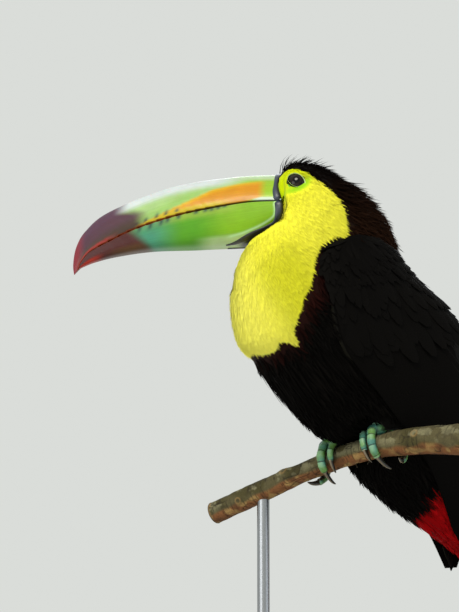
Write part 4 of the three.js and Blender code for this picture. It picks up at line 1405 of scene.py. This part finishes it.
# A tube round a path: reach(share, turn) in mm, where turn 0 faces `out`. Gives points and faces.
def tube(path, out, reach, rows, ring, flat=1.0):
    share = np.linspace(0, 1, rows)
    places = np.linspace(0, 1, len(path))
    middle, out = (np.stack([np.interp(share, places, grid[:, k]) for k in range(3)], -1)
                   for grid in (path, out))
    along = unit(np.gradient(middle, axis=0))
    out = unit(out - along * (out * along).sum(1)[:, None])
    aside = np.cross(along, out)
    turns = turnsOf(ring) * np.ones((rows, 1))
    size = reach(share[:, None] * np.ones(ring), turns)
    points = middle[:, None] + out[:, None] * (size * np.cos(turns))[..., None] \
        + aside[:, None] * (size * flat * np.sin(turns))[..., None]
    return closed(points, middle[[0, -1]]), rowsOf(rows, ring), turns


def roundEnds(share, first, last):  # closes a tube's ends in a dome
    near = np.clip((first - share) / first, 0, 1) if first else 0 * share
    far = np.clip((share - 1 + last) / last, 0, 1)
    return np.sqrt(np.clip(1 - near ** 2, 0.02, 1) * np.clip(1 - far ** 2, 0.02, 1))


def toePath(foot, toe):
    side = 1 if foot == "left" else -1
    stops, fine = 9, 480
    points, middles = [], []
    for share in np.linspace(0, 1, stops):
        outward = toe["start"] + (toe["end"] - toe["start"]) * share ** 0.7
        middle, _, forward, up, radius = perchFrame(feet[foot] + side * outward)
        turn = math.radians(toe["from"] + (toe["to"] - toe["from"]) * share)
        reach = radius + toe["base"] * (1.02 - 0.2 * share) + 0.4
        points.append(middle + (forward * math.sin(turn) + up * math.cos(turn)) * reach)
        middles.append(middle)
    path, length = evenCurve(points, 60)
    middles = np.array(middles)
    core = np.stack([np.interp(np.linspace(0, stops - 1, fine), np.arange(stops), middles[:, k])
                     for k in range(3)], -1)
    nearest = np.linalg.norm(path[:, None] - core, axis=-1).argmin(1)
    return path, unit(path - core[nearest]), length, middles[-1]


def plateRise(distance, length):  # how far plates stand up at a distance along
    step = (distance / length) % 1
    return smooth(step, 0, scutes["gap"]) * (1 - 0.5 * step)


def plateCrease(distance, length):  # how dark the crease between them is
    step = (distance / length) % 1
    return 1 - smooth(step, 0.0, scutes["gap"]) * (1 - smooth(step, 1 - 0.5 * scutes["gap"], 1))


def toeColours(points, over, crease, rise, padCrease):
    t = footTones
    places = points[1:-1].reshape(*over.shape, 3)
    hue = smooth(drift(places, 5), 0.3, 0.7)
    tone = mix(t["teal"], t["green"], hue)
    # Painted highlight: the plates' raised middles on the side facing out are painted pale.
    tone = mix(tone, t["pale"], 0.6 * smooth(rise, 0.55, 0.95) * smooth(over, 0.3, 1))
    tone = mix(tone, t["gap"], 0.85 * crease)
    pads = mix(t["pad"], t["padEdge"], 0.8 * padCrease)
    return mix(pads, tone, smooth(over, -0.35, 0.1))


def toeShape(foot, toe):
    path, out, length, core = toePath(foot, toe)
    base = toe["base"]

    def reach(share, turns):
        over = np.cos(turns)
        rise = plateRise(share * length, scutes["length"])
        small = plateRise(share * length + scutes["padStart"], scutes["padLength"])
        swell = sum(np.exp(-((share - place) / 0.055) ** 2) for place in scutes["knuckles"])
        size = base * (0.87 - 0.18 * share) * (1 + scutes["swell"] * swell * (0.6 + 0.4 * over))
        size += scutes["high"] * rise * smooth(over, -0.2, 0.5)
        size += 0.22 * small * smooth(-over, 0.1, 0.6)
        return size * roundEnds(share, 0.05, 0.06)

    points, share, turns = tube(path, out, reach, scutes["rows"], scutes["ring"])
    rise, crease = (form(share * length, scutes["length"]) for form in (plateRise, plateCrease))
    fold = plateCrease(share * length + scutes["padStart"], scutes["padLength"])
    return points, withEnds(toeColours(points, np.cos(turns), crease, rise, fold)), path, out, core


def clawShape(toe, path, out, core):
    tip, along = path[-1], unit(path[-1] - path[-3])
    inward = unit(core - tip)
    start = tip - along * clawForm["sunk"]
    bend = tip + along * toe["claw"] * 0.55
    end = tip + along * toe["claw"] * 0.9 + inward * toe["claw"] * 0.3
    s = np.linspace(0, 1, 40)[:, None]
    curve = start * (1 - s) ** 2 + bend * 2 * s * (1 - s) + end * s ** 2
    outs = np.broadcast_to(-inward, curve.shape)

    def reach(share, turns):
        size = clawForm["root"] * (1 - share) ** 0.62 + clawForm["tip"]
        keel = 1 + 0.12 * np.exp(-(np.cos(turns) - 1) ** 2 / 0.02)
        return size * keel * (1 - 0.18 * smooth(-np.cos(turns), 0.5, 0.9)) * roundEnds(share, 0.06, 0.03)

    points, share, turns = tube(curve, outs, reach, clawForm["rows"], clawForm["ring"],
                                flat=clawForm["flat"])
    t = footTones
    pale = smooth(np.cos(turns), 0.72, 0.95) * 0.75 + 0.5 * (1 - smooth(share, 0.02, 0.12))
    pale = np.clip(pale + 0.25 * smooth(-np.cos(turns), 0.7, 0.9), 0, 1)
    return points, withEnds(mix(t["horn"], t["hornPale"], pale))


def footShape(foot):  # the pad on the perch and the scaled shank up to the feathers
    middle, along, forward, up, radius = perchFrame(feet[foot])
    seat = middle + up * (radius + pad["above"])
    rows, ring = pad["rows"], pad["ring"]
    polar = np.linspace(0.03, np.pi - 0.03, rows)[:, None] * np.ones(ring)
    turns = turnsOf(ring)
    flat = (along * pad["along"]) * np.cos(turns)[:, None] + (forward * pad["ahead"]) \
        * np.sin(turns)[:, None]
    ball = seat + flat * np.sin(polar)[..., None] + up * pad["tall"] * np.cos(polar)[..., None]
    lumps = drift(ball, 2.2)
    ball = seat + (ball - seat) * (0.97 + 0.09 * lumps)[..., None]
    padPoints = closed(ball, seat + np.array([up, -up]) * pad["tall"])
    t = footTones
    tone = mix(t["teal"], t["green"], smooth(drift(ball, 5), 0.3, 0.7))
    padTone = withEnds(mix(tone, t["gap"], 0.7 * (1 - smooth(lumps, 0.25, 0.5))))
    top = seat + np.array(shank["top"])
    path = seat + (top - seat) * np.linspace(-0.12, 1, 30)[:, None]
    outs = np.broadcast_to([-1.0, 0, 0], path.shape)
    length = np.linalg.norm(path[-1] - path[0])

    def reach(share, turns):
        over = np.cos(turns)
        rise = plateRise(share * length, shank["plate"])
        size = shank["radius"] + shank["flare"] * (1 - smooth(share, 0.05, 0.45))
        size = size + 0.3 * rise * smooth(over, -0.2, 0.5)
        return (size + 0.3 * smooth(-over, 0.5, 1)) * roundEnds(share, 0.1, 0.04)

    leg, share, turns = tube(path, outs, reach, shank["rows"], shank["ring"])
    rise, crease = (form(share * length, shank["plate"]) for form in (plateRise, plateCrease))
    fold = plateCrease(share * length + 1.5 * turns, shank["fold"])
    legTone = withEnds(toeColours(leg, np.cos(turns) + 0.3, crease, rise, 1 - fold))
    return [(padPoints, padTone, rows, ring), (leg, legTone, shank["rows"], shank["ring"])]


def joinTubes(name, parts, material, slot, nodes):  # parts are points, colours, rows and ring
    start, quads, fans = 0, [], []
    for points, _, rows, ring in parts:
        own = flipInward(points, loftFaces(rows, ring))
        quads.append(own[0] + start)
        fans.append(own[1] + start)
        start += len(points)
    makePiece(name, np.concatenate([part[0] for part in parts]),
              [np.concatenate(quads), np.concatenate(fans)], material, slot, nodes,
              coat=np.concatenate([part[1] for part in parts]))


# Foot skin: hard blue-green plates with a waxy sheen, and dull creases between them.
plateSkin = grainedFinish("waxy_scaled_foot_skin", 0.5, (0.82, 1.18), 0.3, 0.08, {"Detail": 3},
                          Roughness=0.42, IOR=1.4)
# Claw horn: dense dark keratin, polished by wear.
darkHorn = plainFinish("dark_claw_horn", Roughness=0.3, IOR=1.5)
for foot in feet:
    skins, claws = footShape(foot), []
    for toe in toes:
        points, tones, path, out, core = toeShape(foot, toe)
        skins.append((points, tones, scutes["rows"], scutes["ring"]))
        claws.append((*clawShape(toe, path, out, core), clawForm["rows"], clawForm["ring"]))
    joinTubes(f"foot_skin_{foot}", skins, plateSkin, "scaled_skin",
              (f"foot_{foot}", *(f"toe_{toe['name']}_{foot}" for toe in toes)))
    joinTubes(f"claws_{foot}", claws, darkHorn, "claw", [f"claw_{toe['name']}_{foot}" for toe in toes])
print("feet")


# ---- thighs ----
thigh = {"low": (6, 0, 24), "high": (30, 0, 62), "least": 7, "swell": 9, "inset": 1.3, "rows": 50,
         "ring": 48}
coats["thigh"] = {"spacing": 1.5, "length": 11, "width": 1.5, "lift": 1.3, "sink": 0.5, "stray": 0.16,
                  "ridge": 0.35, "outline": [(0.25, 0.8), (0.6, 0.9), (0.85, 0.45)], "curl": 0.2,
                  "mottle": 0.2}


def thighPlace(foot):  # u runs down the thigh
    seat = perchFrame(feet[foot])[0]
    low, high = seat + np.array(thigh["low"]), seat + np.array(thigh["high"])
    along = unit(high - low)
    aside = np.array([0.0, 1, 0])
    front = np.cross(along, aside)

    def place(u, v):
        share = 1 - u
        swell = thigh["least"] + thigh["swell"] * np.sin(np.pi * np.minimum(1, 0.12 + 0.72 * share))
        reach = swell * np.minimum(1, 0.6 + 3 * share) - thigh["inset"]
        ways = aside * np.cos(2 * np.pi * v)[..., None] + front * np.sin(2 * np.pi * v)[..., None]
        return low + (high - low) * share[..., None] + ways * reach[..., None]
    return place


def makeThigh(foot):
    sheet = Sheet(thighPlace(foot), thigh["rows"], thigh["ring"], True)
    shape = closed(sheet.points)
    black = lambda u, v, points: np.broadcast_to(plumage["black"], (len(points), 3))
    makePiece(f"thigh_skin_{foot}", shape, loftFaces(thigh["rows"], thigh["ring"]), contour, "black_feather",
              (f"thigh_{foot}",), coat=np.broadcast_to(plumage["black"] * 0.9, (len(shape), 3)))
    u, v = sheet.scatter(coats["thigh"]["spacing"],
                         lambda u, v, points: (u > 0.1) & (u < 0.9) & awayFromFeet(points, 15))
    layFeathers(f"thigh_feathers_{foot}", sheet, u, v, coats["thigh"], black, contour, "black_feather")


for foot in feet:
    makeThigh(foot)
print("thighs")


# ---- perch ----
# Knots are distance along the perch, degrees from its top, size and height.
bark = {"rows": 420, "ring": 96, "wave": 0.5, "lump": 0.5, "fissure": 0.35,
        "knots": [(61, 40, 5.5, 1.5), (160, 62, 4.5, 1.1), (186, -20, 6, 1.6), (24, 100, 4, 1.0)]}
sawn = {"rings": 60, "ring": 72, "inset": 0.4, "deep": 0.35, "back": 3, "yearRing": 1.3}
barkTones = palette(
    top="#4E482F", olive="#3F3A1F", lichen="#747055", under="#70492A",
    pale="#8E7144", crack="#1E1810", wood="#B79B6C", late="#8A6A40")


def barkSurface():
    distance = np.linspace(0, perchLength, bark["rows"])[:, None] * np.ones(bark["ring"])
    turns = turnsOf(bark["ring"]) * np.ones((bark["rows"], 1))
    middle, _, forward, up, radius = perchFrame(distance)
    ways = forward * np.sin(turns)[..., None] + up * np.cos(turns)[..., None]
    flat = middle + ways * radius[..., None]
    crust = np.stack([distance / 2.2, radius * np.sin(turns), radius * np.cos(turns)], -1)
    vein = np.abs(drift(crust, 3.2) - 0.5) * 2
    ring = np.abs(drift(np.stack([distance * 1.6, turns * 0 + 7, np.cos(turns)], -1), 2.4) - 0.5) * 2
    crack = (1 - smooth(vein, 0.0, 0.1)) * smooth(drift(flat, 9), 0.35, 0.6)
    bands = (1 - smooth(ring, 0.0, 0.07)) * smooth(drift(flat + 50, 11), 0.4, 0.62)
    lumps = drift(flat, 4.5)
    rise = bark["wave"] * (drift(flat, 17) - 0.5) * 2 + bark["lump"] * (lumps - 0.5)
    rise -= bark["fissure"] * np.maximum(crack, 0.7 * bands) + 0.15
    collar = 0
    for place, degrees, size, high in bark["knots"]:
        gap = (turns - math.radians(degrees) + np.pi) % (2 * np.pi) - np.pi
        away = np.hypot(distance - place, gap * radius) / size
        rise += high * (np.exp(-(away / 0.7) ** 2) - 0.5 * np.exp(-(away / 0.28) ** 2))
        collar = collar + np.exp(-((away - 0.45) / 0.12) ** 2)
    points = middle + ways * (radius + rise)[..., None]
    return points, flat, turns, np.maximum(crack, bands), lumps, collar


def barkColours(flat, turns, crack, lumps, collar):
    t = barkTones
    tone = mix(t["top"], t["olive"], smooth(drift(flat + 20, 13), 0.4, 0.65))
    patch = smooth(drift(flat + 90, 6) + 0.35 * (drift(flat, 1.6) - 0.5), 0.52, 0.66)
    tone = mix(tone, t["lichen"], 0.75 * patch * smooth(np.cos(turns), -0.5, 0.3))
    under = smooth(-np.cos(turns) + 0.4 * (drift(flat + 40, 8) - 0.5), 0.25, 0.6)
    tone = mix(tone, mix(t["under"], t["pale"], smooth(drift(flat + 70, 4), 0.5, 0.75)), under)
    tone = mix(tone, t["crack"], 0.8 * crack + 0.35 * (1 - smooth(lumps, 0.2, 0.45)) * (1 - crack))
    return mix(tone, t["pale"], 0.5 * np.clip(collar, 0, 1))


# The cut ends: pale sawn wood with growth rings, set just inside the bark.
def sawnEnd(name, distance, way):
    middle, along, forward, up, radius = perchFrame(distance)
    rings, ring = sawn["rings"], sawn["ring"]
    turns = turnsOf(ring)
    reach = np.concatenate([np.linspace(0.02, 1, rings), [1.02, 0.9]])[:, None] * (radius - sawn["inset"])
    wander = 1 + 0.05 * np.sin(turns) + 0.03 * np.sin(3 * turns)
    deep = np.concatenate([np.full(rings, sawn["deep"]), [0.1, -sawn["back"]]])[:, None]
    spots = middle + along * way * deep[..., None] + (
        forward * np.sin(turns)[:, None] + up * np.cos(turns)[:, None]) * reach[..., None]
    wave = 0.5 + 0.5 * np.cos(2 * np.pi * reach * wander / sawn["yearRing"])
    tone = mix(barkTones["wood"], barkTones["late"], wave ** 3)
    tone = mix(tone, barkTones["crack"], smooth(reach, radius - 0.9, radius - 0.5) * 0.8)
    ends = middle + (along * way)[None] * np.array([[sawn["deep"]], [-sawn["back"]]])
    makePiece(name, closed(spots, ends), loftFaces(rings + 2, ring), barkSkin, "bark", coat=withEnds(tone))


# Bark: dry cork and lichen crust, quite matt.
barkSkin = grainedFinish("lichened_bark", 0.9, (0.55, 1.45), 0.6, 0.3, {"Detail": 4},
                         Roughness=0.9, Specular_IOR_Level=0.25)
points, flat, turns, crack, lumps, collar = barkSurface()
makePiece("perch_bark", closed(points), loftFaces(bark["rows"], bark["ring"]), barkSkin, "bark", ("perch",),
          coat=withEnds(barkColours(flat, turns, crack, lumps, collar)))
sawnEnd("perch_end_right", 0, -1)
sawnEnd("perch_end_left", perchLength, 1)
print("perch")


# ---- stand ----
stand = {"profile": [(118, 0), (120, 2), (120, 9), (117, 12.5), (112, 13.5), (110, 18)], "inner": 4,
         "sides": 192, "round": 0.9, "rods": {"right": 40, "left": 208}}
rod = {"radius": 4, "collar": 7, "core": 1, "low": 18.2, "collarTop": 21, "neck": 22.5, "below": 3,
       "round": 0.5, "sides": 48}


# Walnut: dark brown heartwood under a thin satin oil, with rings drawn out along the plank.
def oiledWalnut():
    material, tree, shader = newMaterial("oiled_walnut", Roughness=0.38, IOR=1.45)
    place = addNode(tree, "TexCoord").outputs["Object"]
    plank = addNode(tree, "Mapping", {"Vector": place, "Scale": (1, 9, 9)})
    swirl = addNode(tree, "TexNoise", {"Vector": plank.outputs["Vector"], "Scale": 1 / (110 * mm),
                                       "Detail": 4, "Roughness": 0.6})
    rings = addNode(tree, "TexWave", {"Vector": place, "Scale": math.pi / 10 / (22 * mm),
                                      "Distortion": 11, "Detail": 4, "Detail Scale": 0.7},
                    bands_direction="Y")
    blend = addNode(tree, "Math", {0: swirl.outputs["Fac"], 1: rings.outputs["Fac"]}, operation="ADD")
    half = addNode(tree, "Math", {0: blend.outputs["Value"], 1: 0.5}, operation="MULTIPLY")
    tone = colourRamp(tree, half.outputs["Value"], (0.2, "#2C190E"), (0.5, "#432818"),
                      (0.85, "#573720"))
    pores = addNode(tree, "TexNoise", {"Vector": plank.outputs["Vector"], "Scale": 1 / (9 * mm),
                                       "Detail": 2})
    tree.links.new(tone, shader.inputs["Base Color"])
    addRelief(tree, shader, pores.outputs["Fac"], 0.15, 0.1)
    return material


# Steel: brushed rod, with fine rings round it.
def brushedSteel():
    material, tree, shader = newMaterial("brushed_steel", Base_Color="#9A9DA0", Metallic=1.0,
                                         Roughness=0.32)
    place = addNode(tree, "TexCoord").outputs["Object"]
    drawn = addNode(tree, "Mapping", {"Vector": place, "Scale": (1, 1, 40)})
    lines = addNode(tree, "TexNoise", {"Vector": drawn.outputs["Vector"], "Scale": 1 / (8 * mm),
                                       "Detail": 2})
    tree.links.new(between(tree, lines.outputs["Fac"], 0.24, 0.42), shader.inputs["Roughness"])
    return material


# Turns a profile of (radius, height) about an upright line through `middle`.
def turnedPiece(name, profile, middle, sides, material, slot, nodes):
    radii, heights = np.array(profile, float).T
    turns = turnsOf(sides)
    points = np.stack([middle[0] + radii[:, None] * np.cos(turns),
                       middle[1] + radii[:, None] * np.sin(turns),
                       heights[:, None] * np.ones(sides)], -1)
    ends = np.array([[*middle, heights[0]], [*middle, heights[-1]]])
    makePiece(name, closed(points, ends), loftFaces(len(radii), sides), material, slot, nodes, level=0)


def softened(profile, size):  # rounds each corner of a profile over `size` mm
    profile = np.array(profile, float)
    rows = [profile[0]]
    for before, corner, after in zip(profile, profile[1:], profile[2:]):
        first, last = corner + unit(before - corner) * size, corner + unit(after - corner) * size
        for s in (0, 0.2, 0.4, 0.6, 0.8, 1):
            rows.append(first * (1 - s) ** 2 + corner * 2 * s * (1 - s) + last * s ** 2)
    return [*rows, profile[-1]]


inner, top = stand["inner"], stand["profile"][-1][1]
baseProfile = [(inner, 0), *stand["profile"], (inner, top)]
turnedPiece("stand_base_walnut", softened(baseProfile, stand["round"]),
            (0, 0), stand["sides"], oiledWalnut(), "walnut", ("stand_base",))
steel = brushedSteel()
for side, distance in stand["rods"].items():
    middle = perchFrame(distance)[0]
    top = middle[2] + bird["perchLevel"] - rod["below"]
    profile = [(rod["core"], rod["low"]), (rod["collar"], rod["low"]),
               (rod["collar"], rod["collarTop"]), (rod["radius"], rod["neck"]),
               (rod["radius"], top), (rod["core"], top)]
    turnedPiece(f"stand_rod_{side}_steel", softened(profile, rod["round"]), middle[:2],
                rod["sides"], steel, "steel", (f"stand_rod_{side}",))
print("stand")

print("triangles", sum(triangles.values()), triangles)
